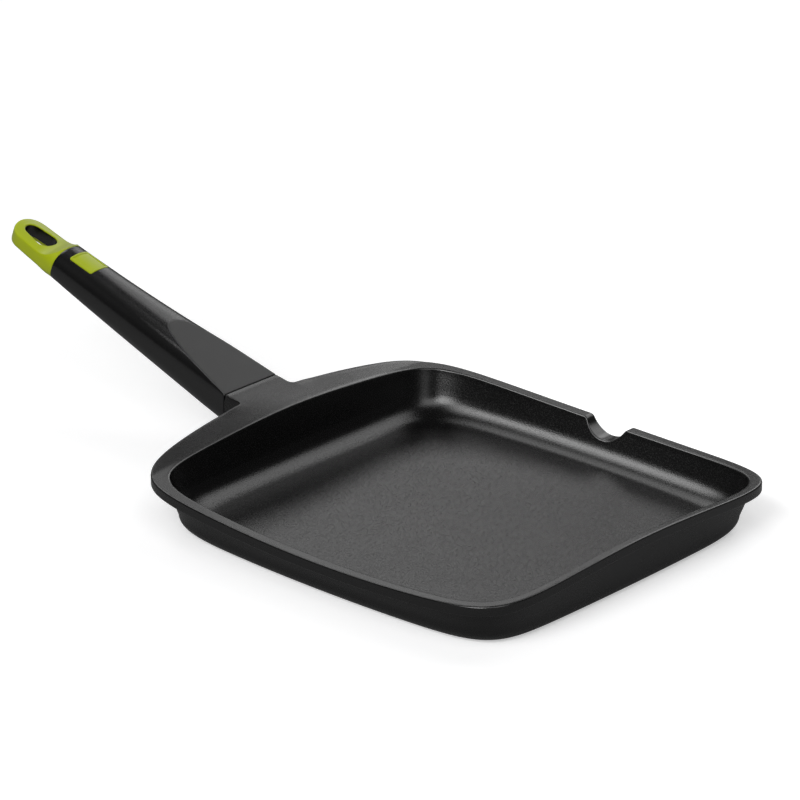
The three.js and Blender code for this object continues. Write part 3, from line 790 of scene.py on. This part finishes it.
def casting_columns(shape, neck):
    """All columns round the casting, crowded at the corners, the notch and the neck."""
    half = neck.half()
    columns = half + [mirrored(c) for c in half[1:]]
    neck_angle = math.pi - half[-1].angle
    notch_from = math.atan2(shape.flange.half_width, NOTCH_X + NOTCH_REACH)
    notch_to = math.atan2(shape.flange.half_width, NOTCH_X - NOTCH_REACH)
    step = 2 * math.pi / RIM_COLUMNS
    for i in range(RIM_COLUMNS):
        turn = step * i - math.pi
        angle = turn + CORNER_CROWDING * math.sin(4 * turn) / 4
        in_neck = math.pi - abs(angle) < neck_angle + step / 2
        in_notch = notch_from - step / 2 < angle < notch_to + step / 2
        if not in_neck and not in_notch:
            columns.append(flange_column(shape, angle))
    for share in shares(NOTCH_COLUMNS):
        columns.append(flange_column(shape, lerp(notch_from, notch_to, share)))
    return sorted(columns, key=lambda c: c.angle)


def ring_set(columns, values, place):
    """Rings over the casting: one for each value, with a point from each column."""
    return [[place(c, value) for c in columns] for value in values]


def underside_rings(shape, columns):
    """Base, its rounding, the outer wall and the fillet under the flange."""
    point = shape.opening.point

    def base_round(c, turn):
        inset = BASE_INSET + BASE_RADIUS * (1 - math.cos(turn))
        return at(point(c.angle, inset), BASE_RADIUS * (1 - math.sin(turn)))

    def wall(c, share):
        top = c.wall_z - UNDER_FILLET
        return at(point(c.angle, lerp(BASE_INSET, 0, share)), lerp(BASE_RADIUS, top, share))

    def fillet(c, turn):
        inset = UNDER_FILLET * (math.sin(turn) - 1)
        return at(point(c.angle, inset), c.wall_z + UNDER_FILLET * (math.cos(turn) - 1))

    insets = *UNDER_INSETS, BASE_INSET + BASE_RADIUS + FLAT_MARGIN
    return (ring_set(columns, insets, lambda c, inset: at(point(c.angle, inset), 0.0))
            + ring_set(columns, turns(BASE_STEPS)[::-1], base_round)
            + ring_set(columns, OUTER_WALL_SHARES, wall)
            + ring_set(columns, turns(EDGE_STEPS)[::-1], fillet))


def edge_rings(shape, neck, columns):
    """From the flange's underside, round its edge, to its top."""
    def under(c, share):
        wall = shape.opening.point(c.angle, -UNDER_FILLET)
        return at(wall.lerp(c.foot.xy + c.inward * RIM_EDGE, share), lerp(c.wall_z, c.foot.z, share))

    def low_round(c, turn):
        point = c.foot.xy + c.inward * (RIM_EDGE * (1 - math.sin(turn)))
        return at(point, c.foot.z + RIM_EDGE * (1 - math.cos(turn)))

    def side(c, share):
        z = lerp(c.foot.z + RIM_EDGE, shape.top(*c.edge) - RIM_EDGE, share)
        point = c.foot.xy.lerp(c.edge, share)
        if c.bulge:
            bulged = math.copysign(neck.width_at(c.edge.x, z), c.edge.y)
            point.y = lerp(point.y, bulged, c.bulge)
        return at(point, z)

    def high_round(c, turn):
        point = c.edge + c.inward * (RIM_EDGE * (1 - math.cos(turn)))
        return at(point, shape.top(*c.edge) - RIM_EDGE * (1 - math.sin(turn)))

    return (ring_set(columns, UNDER_SHARES, under)
            + ring_set(columns, turns(LOW_EDGE_STEPS)[1:], low_round)
            + ring_set(columns, SIDE_SHARES, side)
            + ring_set(columns, turns(EDGE_STEPS), high_round))


def top_rings(shape, columns):
    """Top of the flange, from its edge to the bead."""
    def on_top(c, share):
        inner = shape.opening.point(c.angle, shape.lip_inset(c.angle))
        point = (c.edge + c.inward * RIM_EDGE).lerp(inner, share)
        return at(point, shape.top(*point))

    return ring_set(columns, TOP_SHARES, on_top)


def inside_rings(shape, columns):
    """Bead at the rim's inner edge, wall, cove and floor."""
    point, pan = shape.opening.point, shape.pan
    leans = {c.angle: shape.wall_lean(c.angle) for c in columns}

    def bead(c, turn):
        inner = point(c.angle, shape.lip_inset(c.angle) + RIM_BEAD * math.sin(turn))
        return at(inner, shape.top(*inner) - RIM_BEAD * (1 - math.cos(turn)))

    def cove(c, share):
        turn = lerp(leans[c.angle], QUARTER, share)
        inset = pan.floor_inset - pan.cove_radius * math.cos(turn)
        return at(point(c.angle, inset), pan.floor + pan.cove_radius * (1 - math.sin(turn)))

    def wall(c, share):
        return bead(c, QUARTER).lerp(cove(c, 0.0), share)

    insets = pan.floor_inset + FLAT_MARGIN, *FLOOR_INSETS
    return (ring_set(columns, turns(BEAD_STEPS)[1:], bead)
            + ring_set(columns, INNER_WALL_SHARES, wall)
            + ring_set(columns, shares(COVE_STEPS), cove)
            + ring_set(columns, insets, lambda c, inset: at(point(c.angle, inset), pan.floor)))


def build_casting(pan, handle, finishes):
    shape = PanShape(pan)
    neck = Neck(shape, HandleLine(shape, handle))
    columns = casting_columns(shape, neck)
    outside = underside_rings(shape, columns) + edge_rings(shape, neck, columns) + top_rings(shape, columns)
    piece = skin("pan_body", outside + inside_rings(shape, columns), len(outside) + BEAD_STEPS - 1)
    smooth(piece, CAST_SMOOTH)
    settle(piece, "pan_casting", "coated_casting", outer_coat(finishes), cooking_coat(finishes))


# Grip

def grip_rings(line):
    """Sections of the grip from the seam to the cap, with both ends rounded."""
    def ring(x, inset):
        u = line.share(x)
        square = line.up(x)
        up = Vector((0, 0, 1)).lerp(square, min(u / TILT_OVER, 1.0)).normalized()
        origin = line.origin(x)
        level = line.facet_level(origin, up)
        stretch = 1 / up.dot(square)
        section = Section(line.half_width(u) - inset, (line.top(u) * stretch - inset, line.top_power(u)),
                          (line.low(u) * stretch - inset, line.low_power(u)))
        return cut_section(origin, up, section, level - inset, 0.0, FACET_EDGE)

    rings = [ring(line.seam_x - SEAM_EDGE * (1 - math.cos(turn)), SEAM_EDGE * (1 - math.sin(turn)))
             for turn in turns(GRIP_EDGE_STEPS)[:-1]]
    start, end = line.seam_x - SEAM_EDGE, line.joint_x + CAP_LIP
    rings += [ring(lerp(start, end, share), 0.0) for share in shares(GRIP_RINGS)]
    mid = MID_ROUND * CAP_LIP
    return rings + [ring(line.joint_x + mid, mid), ring(line.joint_x, CAP_LIP)]


def tail_ring(line, cap_face, x, share, walls):
    """A section of the tail, set in from the cap's side and face. share is 0 to 1 over the rounded tip."""
    handle = line.handle
    side, face = walls
    tip_round = max(1 - share ** CAP_ROUND_POWER, 0.0) ** (1 / CAP_ROUND_POWER)
    thinning = share ** CAP_THINNING_POWER
    flat = smoothstep(0.0, CAP_FLATTEN, line.joint_x - x)
    along = (line.joint_x - x) / handle.cap_length
    full_width = handle.joint_half_width - CAP_NARROWING * along - side
    half_width = max(full_width * tip_round, CAP_TIP_HALF_WIDTH)
    top = handle.joint_top_height - CAP_TIP_THINNING * thinning - side
    low = lerp(handle.joint_low_height, CAP_LOW_HEIGHT, flat) - CAP_TIP_LOW_THINNING * thinning - side
    section = Section(half_width, (top, JOINT_TOP_POWER), (low, lerp(JOINT_LOW_POWER, CAP_LOW_POWER, flat)))
    origin, up = line.origin(x), line.up(x)
    return cut_section(origin, up, section, cap_face.level(origin, up) - face, CAP_FACE_CURVE, CAP_EDGE)


def tail_rings(line, cap_face, walls, start_x):
    """Sections of the tail from start_x over the rounded tip."""
    tip_x = line.joint_x - line.handle.cap_length + walls[0]
    round_x = tip_x + CAP_ROUND
    rings = [tail_ring(line, cap_face, lerp(start_x, round_x, share), 0.0, walls)
             for share in shares(CAP_RINGS)[:-1]]
    for turn in turns(TIP_RINGS):
        share = math.sin(turn)
        rings.append(tail_ring(line, cap_face, round_x - CAP_ROUND * share, share, walls))
    return rings


class CapFace:
    """Hanging face of the cap, with the scoop that leads up to the grip."""

    def __init__(self, line):
        self.crown = line.origin(line.joint_x) + line.up(line.joint_x) * line.handle.joint_top_height
        self.x = line.joint_x - CAP_FACE_START
        slope = line.slope(line.joint_x)
        self.z = self.crown.z + slope * (self.crown.x - self.x) - CAP_FACE_DROP
        self.ramp = (self.crown.z + CAP_LIP - self.z) / (self.crown.x - self.x)

    def height(self, x):
        flat = self.z + CAP_FACE_SLOPE * (self.x - x)
        ramp = self.z + self.ramp * (x - self.x)
        return -soft_min(-flat, -ramp, CAP_SCOOP)

    def level(self, origin, up):
        """Height of the face above the centre line, along up."""
        level = 0.0
        for _ in range(LEVEL_STEPS):
            level = (self.height(origin.x + level * up.x) - origin.z) / up.z
        return level

    def slot_point(self, along, across, out):
        """A point from its place on the face: along the slot, across it and out of the curved face."""
        run = Vector((-1.0, 0.0, CAP_FACE_SLOPE)).normalized()
        normal = Vector((CAP_FACE_SLOPE, 0.0, 1.0)).normalized()
        point = Vector((self.x, 0.0, self.z)) + run * along
        point += normal * (out - CAP_FACE_CURVE * across * across / 2)
        point.y = across
        return point


def slot_outline(slot_length, grow):
    """Tapered slot in the plane of the hanging face."""
    root, tip = SLOT_ROOT_RADIUS + grow, SLOT_TIP_RADIUS + grow
    root_at = SLOT_START + SLOT_ROOT_RADIUS
    tip_at = SLOT_START + slot_length - SLOT_TIP_RADIUS
    lean = math.asin((root - tip) / (tip_at - root_at))
    points = []
    for centre, radius, start, end in ((root_at, root, QUARTER - lean, 3 * QUARTER + lean),
                                       (tip_at, tip, lean - QUARTER, QUARTER - lean)):
        for share in shares(ARC_STEPS):
            turn = lerp(start, end, share)
            points.append((centre + radius * math.cos(turn), radius * math.sin(turn)))
    return points


def slot_cutter(line, cap_face, grow, rounding):
    """Cutter for the hanging slot, flared where it leaves the face so that the edge is round."""
    reach = 2 * line.handle.joint_top_height + CAP_ROUND
    levels = [(rounding, CAP_ROUND)]
    for turn in turns(ROUND_STEPS):
        levels.append((rounding * (1 - math.sin(turn)), rounding * (math.cos(turn) - 1)))
    levels.append((0.0, -reach))
    rings = []
    for flare, out in levels:
        outline = slot_outline(line.handle.slot_length, grow + flare)
        rings.append([cap_face.slot_point(along, across, out) for along, across in outline])
    return skin("slot_cutter", rings)


def badge_outline(handle, grow):
    """Rounded rectangle, as places along and across the grip, with points between its corners."""
    half_length, half_width = handle.badge_length / 2 + grow, handle.badge_width / 2 + grow
    corner = max(BADGE_CORNER + grow, BADGE_FIT)
    arcs = []
    for i, (sx, sy) in enumerate(((1, 1), (-1, 1), (-1, -1), (1, -1))):
        middle = sx * (half_length - corner), sy * (half_width - corner)
        arcs.append([(middle[0] + corner * math.cos(QUARTER * i + turn),
                      middle[1] + corner * math.sin(QUARTER * i + turn)) for turn in turns(BADGE_STEPS)])
    points = []
    for arc, following in zip(arcs, arcs[1:] + arcs[:1]):
        (x, y), (end_x, end_y) = arc[-1], following[0]
        points += arc
        points += [(lerp(x, end_x, share), lerp(y, end_y, share)) for share in shares(BADGE_STEPS)[1:-1]]
    return points


def badge_ring(line, grow, lift, scale=1.0):
    """The badge's outline on the grip's top, grown, lifted and scaled."""
    middle = line.joint_x + BADGE_FROM_JOINT
    run = line.forward(middle).x
    outline = badge_outline(line.handle, grow)
    return [line.on_surface(middle + run * along * scale, across * scale, lift) for along, across in outline]


def build_grip(pan, handle, finishes):
    line = HandleLine(PanShape(pan), handle)
    cap_face = CapFace(line)
    piece = skin("grip_moulding", grip_rings(line))
    levels = -BADGE_DEPTH - BADGE_FIT, CUT_REACH * BADGE_DEPTH
    cut(piece, skin("badge_recess", [badge_ring(line, BADGE_FIT, level) for level in levels]))
    pocket = SCREW_HEAD_RADIUS + SCREW_FIT
    levels = -SCREW_SEAT, -CUT_REACH * SCREW_SEAT
    cut(piece, screw_turned(line, "screw_pocket", [(pocket, level) for level in levels]))
    smooth(piece, MOULD_SMOOTH)
    settle(piece, "handle_grip", "grip", grip_finish(finishes, line))
    walls = CAP_WALL + CAP_FIT, CAP_FACE_WALL + CAP_FIT
    tongue = skin("grip_tongue", tail_rings(line, cap_face, walls, line.joint_x + CAP_LIP))
    cut(tongue, slot_cutter(line, cap_face, -SLOT_STEP, 0.0))
    smooth(tongue, MOULD_SMOOTH)
    settle(tongue, "handle_grip", "grip", piece.data.materials[0])


def build_cap(pan, handle, finishes):
    line = HandleLine(PanShape(pan), handle)
    cap_face = CapFace(line)
    rings = tail_rings(line, cap_face, (0.0, 0.0), line.joint_x - CAP_LIP)
    rings.insert(0, tail_ring(line, cap_face, line.joint_x - JOINT_GAP, 0.0, (CAP_LIP, CAP_LIP)))
    piece = skin("lime_cap", rings)
    cut(piece, skin("cap_hollow", tail_rings(line, cap_face, (CAP_WALL, CAP_FACE_WALL), line.joint_x + MM)))
    cut(piece, slot_cutter(line, cap_face, 0.0, SLOT_ROUND))
    smooth(piece, MOULD_SMOOTH)
    settle(piece, "end_cap", "lime_trim", lime_finish(finishes))


def build_badge(pan, handle, finishes):
    line = HandleLine(PanShape(pan), handle)
    mid = MID_ROUND * BADGE_EDGE
    low = BADGE_PROUD - BADGE_PANEL_DEPTH
    border = [(0.0, -BADGE_DEPTH), (0.0, BADGE_PROUD - BADGE_EDGE), (-mid, BADGE_PROUD - mid),
              (-BADGE_EDGE, BADGE_PROUD), (BADGE_EDGE - BADGE_BORDER, BADGE_PROUD),
              (mid - BADGE_BORDER, BADGE_PROUD - mid)]
    rings = [badge_ring(line, grow, lift) for grow, lift in border]
    rings += [badge_ring(line, -BADGE_BORDER, low, scale) for scale in BADGE_SCALES]
    piece = skin("lime_badge", rings)
    smooth(piece, MOULD_SMOOTH)
    settle(piece, "badge_plate", "lime_trim", lime_finish(finishes))


# Screw and washer

def screw_frame(line):
    """The screw's place on the centre line, and the directions up, forward and across."""
    x = line.seam_x - SCREW_FROM_SEAM
    up, forward = line.up(x), line.forward(x)
    return line.origin(x), up, forward, up.cross(forward)


def screw_turned(line, name, profile):
    """A shape turned on the screw's axis, from (radius, level) pairs."""
    origin, up, forward, across = screw_frame(line)
    rings = []
    for radius, level in profile:
        ring = []
        for share in shares(SCREW_SIDES)[:-1]:
            turn = 2 * math.pi * share
            r = radius(turn) if callable(radius) else radius
            ring.append(origin + up * level + (forward * math.cos(turn) + across * math.sin(turn)) * r)
        rings.append(ring)
    return skin(name, rings)


def hexagon(turn):
    """Radius of the hexagonal drive."""
    sixth = math.pi / 3
    return SCREW_DRIVE * math.cos(sixth / 2) / math.cos(turn % sixth - sixth / 2)


def build_fasteners(pan, handle, finishes):
    line = HandleLine(PanShape(pan), handle)
    top = -SCREW_SEAT - 2 * SEAT_GAP - WASHER_THICKNESS
    under = top - SCREW_HEAD_HEIGHT
    half = SCREW_HEAD_HEIGHT / 2
    profile = [(hexagon, under + SCREW_DRIVE_DEPTH), (hexagon, under + SCREW_DRIVE_EDGE),
               (lambda turn: hexagon(turn) + SCREW_DRIVE_EDGE, under),
               (SCREW_HEAD_FLAT - SCREW_HEAD_EDGE, under)]
    for turn in turns(ROUND_STEPS):
        profile.append((SCREW_HEAD_FLAT + (SCREW_HEAD_RADIUS - SCREW_HEAD_FLAT) * math.sin(turn),
                        under + half * (1 - math.cos(turn))))
    profile += [(SCREW_HEAD_RADIUS, top), (SCREW_RADIUS, top), (SCREW_RADIUS, top + SCREW_SHANK)]
    steel = steel_finish(finishes)
    screw = screw_turned(line, "grip_screw", profile)
    smooth(screw, STEEL_SMOOTH)
    settle(screw, "handle_screw", "fastener", steel)
    washer = skin("grip_washer", washer_rings(line))
    smooth(washer, STEEL_SMOOTH)
    settle(washer, "spring_washer", "fastener", steel)


def washer_rings(line):
    """Square-wire ring with a split."""
    origin, up, forward, across = screw_frame(line)
    high = -SCREW_SEAT - SEAT_GAP
    low = high - WASHER_THICKNESS
    inner, outer = SCREW_RADIUS + SCREW_FIT, WASHER_RADIUS
    corners = [(inner, low), (outer, low), (outer, high), (inner, high)]
    rings = []
    for share in shares(WASHER_STEPS):
        turn = lerp(WASHER_SPLIT, 2 * math.pi - WASHER_SPLIT, share)
        out = forward * math.cos(turn) + across * math.sin(turn)
        rings.append([origin + up * level + out * radius for radius, level in corners])
    return rings


# Finishes

class Value:
    """A node's output. Sums and products of it become Math nodes."""

    def __init__(self, finish, socket):
        self.finish = finish
        self.socket = socket

    def maths(self, operation, *inputs):
        return self.finish.node("ShaderNodeMath", {"operation": operation}, dict(enumerate(inputs)))

    def __add__(self, other):
        return self.maths("ADD", self, other)

    def __radd__(self, other):
        return self.maths("ADD", other, self)

    def __sub__(self, other):
        return self.maths("SUBTRACT", self, other)

    def __rsub__(self, other):
        return self.maths("SUBTRACT", other, self)

    def __mul__(self, other):
        return self.maths("MULTIPLY", self, other)

    def __rmul__(self, other):
        return self.maths("MULTIPLY", other, self)


class Finish:
    """A node tree under construction, for a material or the world."""

    def __init__(self, name, kind="materials", shader="Principled BSDF"):
        self.material = getattr(bpy.data, kind).new(name)
        self.material.use_nodes = True
        self.tree = self.material.node_tree
        self.shader = self.tree.nodes[shader]

    def node(self, kind, settings=None, inputs=None, output=0):
        """Adds a node of any kind: its settings first, then the values or links of its sockets."""
        node = self.tree.nodes.new(kind)
        for key, value in (settings or {}).items():
            setattr(node, key, value)
        for key, value in (inputs or {}).items():
            self.feed(node.inputs[key], value)
        return Value(self, node.outputs[output])

    def feed(self, socket, value):
        if isinstance(value, Value):
            self.tree.links.new(value.socket, socket)
        else:
            socket.default_value = value

    def set(self, **inputs):
        for key, value in inputs.items():
            self.feed(self.shader.inputs[key.replace("_", " ")], value)

    def place(self):
        return self.node("ShaderNodeTexCoord", output="Object")

    def ray(self, kind):
        return self.node("ShaderNodeLightPath", output=f"Is {kind} Ray")

    def seen(self):
        """1 where the camera looks at the backdrop, and a small share of that in gloss and glass."""
        return self.ray("Camera") + (self.ray("Glossy") + self.ray("Transmission")) * GLOSS_SHARE

    def axis(self, place, name):
        return self.node("ShaderNodeSeparateXYZ", None, {"Vector": place}, name)

    def noise(self, place, scale, detail=2.0, roughness=0.5):
        return self.node("ShaderNodeTexNoise", None, {"Vector": place, "Scale": scale, "Detail": detail,
                                                      "Roughness": roughness})

    def ranged(self, value, low, high):
        """0 below low, 1 above high and smooth between them."""
        return self.node("ShaderNodeMapRange", {"interpolation_type": "SMOOTHSTEP"},
                         {"Value": value, "From Min": low, "From Max": high})

    def bump(self, height, distance):
        return self.node("ShaderNodeBump", None, {"Height": height, "Distance": distance})

    def mix_colour(self, share, first, second):
        return self.node("ShaderNodeMix", {"data_type": "RGBA"}, {"Factor": share, 6: first, 7: second}, 2)


def opaque(rgb, factor=1.0):
    return tuple(channel * factor for channel in rgb) + (1.0,)


def outer_coat(finishes):
    """Dark baked coat outside and on the rim: satin, with a fine orange peel."""
    coat = Finish("outer_coat")
    place = coat.place()
    grain = coat.noise(place, 1500.0, detail=3.0, roughness=0.6)
    cloud = coat.noise(place, 40.0, detail=3.0)
    coat.set(Base_Color=coat.mix_colour(cloud, opaque(finishes.coat, 0.85), opaque(finishes.coat, 1.2)),
             Roughness=0.22 + cloud * 0.05 + grain * 0.05, IOR=1.68,
             Normal=coat.bump(grain, 0.012 * MM))
    return coat.material


def cooking_coat(finishes):
    """Non-stick coat of the cooking side, with a sandy grain."""
    coat = Finish("cooking_coat")
    place = coat.place()
    sand = coat.noise(place, 1200.0, detail=2.0, roughness=0.6)
    speck = coat.ranged(sand, 0.5, 0.66)
    cloud = coat.noise(place, 40.0, detail=3.0)
    coat.set(Base_Color=coat.mix_colour(sand, opaque(finishes.coat, 0.5), opaque(finishes.coat, 1.5)),
             Roughness=0.22 + cloud * 0.04 + speck * 0.09, IOR=1.55,
             Normal=coat.bump(sand, 0.08 * MM))
    return coat.material


def grip_finish(finishes, line):
    """Black phenolic: satin on the round of the grip, finely grained on the thumb facet."""
    grip = Finish("black_phenolic")
    place = grip.place()
    plane = line.facet_z + FACET_SLOPE * line.seam_x
    below = grip.axis(place, "Z") + grip.axis(place, "X") * FACET_SLOPE - plane
    facet = grip.ranged(below, -0.30 * MM, -0.10 * MM)
    grain = grip.noise(place, 2600.0, detail=2.0, roughness=0.6)
    cloud = grip.noise(place, 55.0, detail=3.0)
    dark, pale = opaque(finishes.phenolic, 0.85), opaque(finishes.phenolic, 1.2)
    grip.set(Base_Color=grip.mix_colour(cloud, dark, pale),
             Roughness=0.24 + cloud * 0.04 + facet * 0.32, IOR=1.75,
             Normal=grip.bump(grain * (0.15 + facet * 0.85), 0.03 * MM))
    return grip.material


def lime_finish(finishes):
    """Moulded lime plastic with a light satin grain."""
    lime = Finish("lime_plastic")
    place = lime.place()
    cloud = lime.noise(place, 70.0, detail=3.0)
    grain = lime.noise(place, 2200.0, detail=2.0, roughness=0.6)
    lime.set(Base_Color=lime.mix_colour(cloud, opaque(finishes.lime, 0.95), opaque(finishes.lime, 1.05)),
             Roughness=0.34 + grain * 0.08, IOR=1.5, Sheen_Weight=0.25, Sheen_Roughness=0.4,
             Normal=lime.bump(grain, 0.02 * MM))
    return lime.material


def steel_finish(finishes):
    """Zinc-plated steel with turning marks."""
    steel = Finish("plated_steel")
    place = steel.place()
    cloud = steel.noise(place, 400.0, detail=4.0)
    fine = steel.noise(place, 5000.0, detail=2.0)
    steel.set(Base_Color=steel.mix_colour(cloud, opaque(finishes.steel, 0.85), opaque(finishes.steel)),
              Metallic=1.0, Roughness=0.28 + cloud * 0.14,
              Normal=steel.bump(fine, 0.01 * MM))
    return steel.material


def floor_finish(finishes):
    """White sweep: it glows for the camera, keeps a soft shadow there, and is dimmer for all other rays."""
    sweep = Finish("white_sweep")
    dim, pale = opaque(finishes.table, FLOOR_DIM), opaque(finishes.table)
    sweep.set(Base_Color=sweep.mix_colour(sweep.ray("Camera"), dim, pale),
              Roughness=0.9, Specular_IOR_Level=0.0)
    glow = sweep.node("ShaderNodeEmission", None,
                      {"Color": (1, 1, 1, 1), "Strength": sweep.seen() * FLOOR_GLOW})
    both = sweep.node("ShaderNodeAddShader", None, {0: glow, 1: Value(sweep, sweep.shader.outputs[0])})
    sweep.feed(sweep.tree.nodes["Material Output"].inputs["Surface"], both)
    return sweep.material


# Stage

def lamp_panel(name, place, aim, size, radiance):
    """A soft panel light at a place, facing another place."""
    deselect()
    bpy.ops.object.light_add(type="AREA")
    lamp = bpy.context.object
    lamp.name = name
    lamp.data.shape = "RECTANGLE"
    lamp.data.size, lamp.data.size_y = size
    lamp.data.energy = math.pi * lamp.data.size * lamp.data.size_y * radiance
    lamp.location = place
    lamp.visible_camera = False
    lamp.rotation_mode = "QUATERNION"
    lamp.rotation_quaternion = (place - aim).to_track_quat("Z", "Y")
    return lamp


def panel(name, azimuth, elevation, wide, high, radiance):
    """A far panel that faces the pan. Its place and size are angles in degrees, seen from the pan."""
    turn, rise = math.radians(azimuth), math.radians(elevation)
    toward = Vector((math.cos(turn) * math.cos(rise), math.sin(turn) * math.cos(rise), math.sin(rise)))
    size = [2 * PANEL_DISTANCE * math.tan(math.radians(angle / 2)) for angle in (wide, high)]
    lamp_panel(name, toward * PANEL_DISTANCE, Vector(), size, radiance)


def light_room(light):
    """Dim room for the object, white for the camera."""
    room = Finish("studio", "worlds", "Background")
    room.set(Color=(1, 1, 1, 1), Strength=light.room + room.seen() * (1 - light.room))
    bpy.context.scene.world = room.material


def add_camera():
    """Stands the camera where the photograph was taken from."""
    right = Vector((math.cos(CAMERA_AZIMUTH), math.sin(CAMERA_AZIMUTH), 0))
    back = Vector((math.sin(CAMERA_AZIMUTH) * math.cos(CAMERA_ELEVATION),
                   -math.cos(CAMERA_AZIMUTH) * math.cos(CAMERA_ELEVATION), math.sin(CAMERA_ELEVATION)))
    up = back.cross(right)
    deselect()
    bpy.ops.object.camera_add()
    camera = bpy.context.object
    camera.matrix_world = Matrix((right, up, back)).transposed().to_4x4()
    camera.location = back * CAMERA_DISTANCE + up * FRAME_DOWN - right * FRAME_RIGHT
    camera.data.sensor_width = SENSOR_WIDTH
    camera.data.lens = LENS
    camera.data.clip_end = CAMERA_REACH
    bpy.context.scene.camera = camera


def build_stage(light, finishes):
    bpy.context.scene.view_settings.view_transform = "Standard"
    add_camera()
    deselect()
    bpy.ops.mesh.primitive_plane_add(size=FLOOR_SIZE)
    floor = bpy.context.object
    floor.name = "studio_floor"
    floor.data.materials.append(floor_finish(finishes))
    light_room(light)
    for name, place in PANELS.items():
        panel(f"{name}_panel", *place, getattr(light, name))
    near = lamp_panel("near_panel", NEAR_PLACE, NEAR_AIM, NEAR_SIZE, light.near)
    near.data.spread = NEAR_SPREAD


# Operators

class PanOperator:
    """What the operators share: the scene's settings."""

    bl_options = {"REGISTER", "UNDO"}

    def settings(self, context):
        scene = context.scene
        return scene.pan_sizes, scene.handle_sizes, scene.pan_finishes


class GRIDDLE_OT_casting(PanOperator, bpy.types.Operator):
    """Model the cast pan with its flange, pour notch and neck"""

    bl_idname = "griddle.casting"
    bl_label = "Pan casting"

    def execute(self, context):
        build_casting(*self.settings(context))
        return {"FINISHED"}


class GRIDDLE_OT_grip(PanOperator, bpy.types.Operator):
    """Model the moulded grip and its tail tongue"""

    bl_idname = "griddle.grip"
    bl_label = "Grip"

    def execute(self, context):
        build_grip(*self.settings(context))
        return {"FINISHED"}


class GRIDDLE_OT_cap(PanOperator, bpy.types.Operator):
    """Model the lime end cap with its hanging slot"""

    bl_idname = "griddle.cap"
    bl_label = "End cap"

    def execute(self, context):
        build_cap(*self.settings(context))
        return {"FINISHED"}


class GRIDDLE_OT_badge(PanOperator, bpy.types.Operator):
    """Model the lime badge"""

    bl_idname = "griddle.badge"
    bl_label = "Badge"

    def execute(self, context):
        build_badge(*self.settings(context))
        return {"FINISHED"}


class GRIDDLE_OT_fasteners(PanOperator, bpy.types.Operator):
    """Model the screw and the spring washer under the grip"""

    bl_idname = "griddle.fasteners"
    bl_label = "Screw and washer"

    def execute(self, context):
        build_fasteners(*self.settings(context))
        return {"FINISHED"}


class GRIDDLE_OT_stage(bpy.types.Operator):
    """Set up the floor, the light and the camera"""

    bl_idname = "griddle.stage"
    bl_label = "Stage"
    bl_options = {"REGISTER", "UNDO"}

    def execute(self, context):
        build_stage(context.scene.stage_light, context.scene.pan_finishes)
        return {"FINISHED"}


STEPS = (GRIDDLE_OT_stage, GRIDDLE_OT_casting, GRIDDLE_OT_grip, GRIDDLE_OT_cap, GRIDDLE_OT_badge,
         GRIDDLE_OT_fasteners)


class GRIDDLE_PT_panel(bpy.types.Panel):
    """Settings and steps of the griddle pan"""

    bl_idname = "GRIDDLE_PT_panel"
    bl_label = "Griddle Pan"
    bl_space_type = "VIEW_3D"
    bl_region_type = "UI"
    bl_category = "Griddle Pan"

    def draw(self, context):
        for group in GROUPS:
            box = self.layout.box()
            settings = getattr(context.scene, group)
            for name in GROUPS[group].__annotations__:
                box.prop(settings, name)
        for step in STEPS:
            self.layout.operator(step.bl_idname)


GROUPS = {"pan_sizes": PanSizes, "handle_sizes": HandleSizes, "pan_finishes": Finishes,
          "stage_light": StageLight}


def register():
    for group in GROUPS.values():
        bpy.utils.register_class(group)
    for name, group in GROUPS.items():
        setattr(bpy.types.Scene, name, PointerProperty(type=group))
    for step in STEPS:
        bpy.utils.register_class(step)
    bpy.utils.register_class(GRIDDLE_PT_panel)


def unregister():
    bpy.utils.unregister_class(GRIDDLE_PT_panel)
    for step in reversed(STEPS):
        bpy.utils.unregister_class(step)
    for name in GROUPS:
        delattr(bpy.types.Scene, name)
    for group in reversed(GROUPS.values()):
        bpy.utils.unregister_class(group)


def main():
    register()
    bpy.ops.griddle.stage()
    bpy.ops.griddle.casting()
    bpy.ops.griddle.grip()
    bpy.ops.griddle.cap()
    bpy.ops.griddle.badge()
    bpy.ops.griddle.fasteners()


if __name__ == "__main__":
    main()
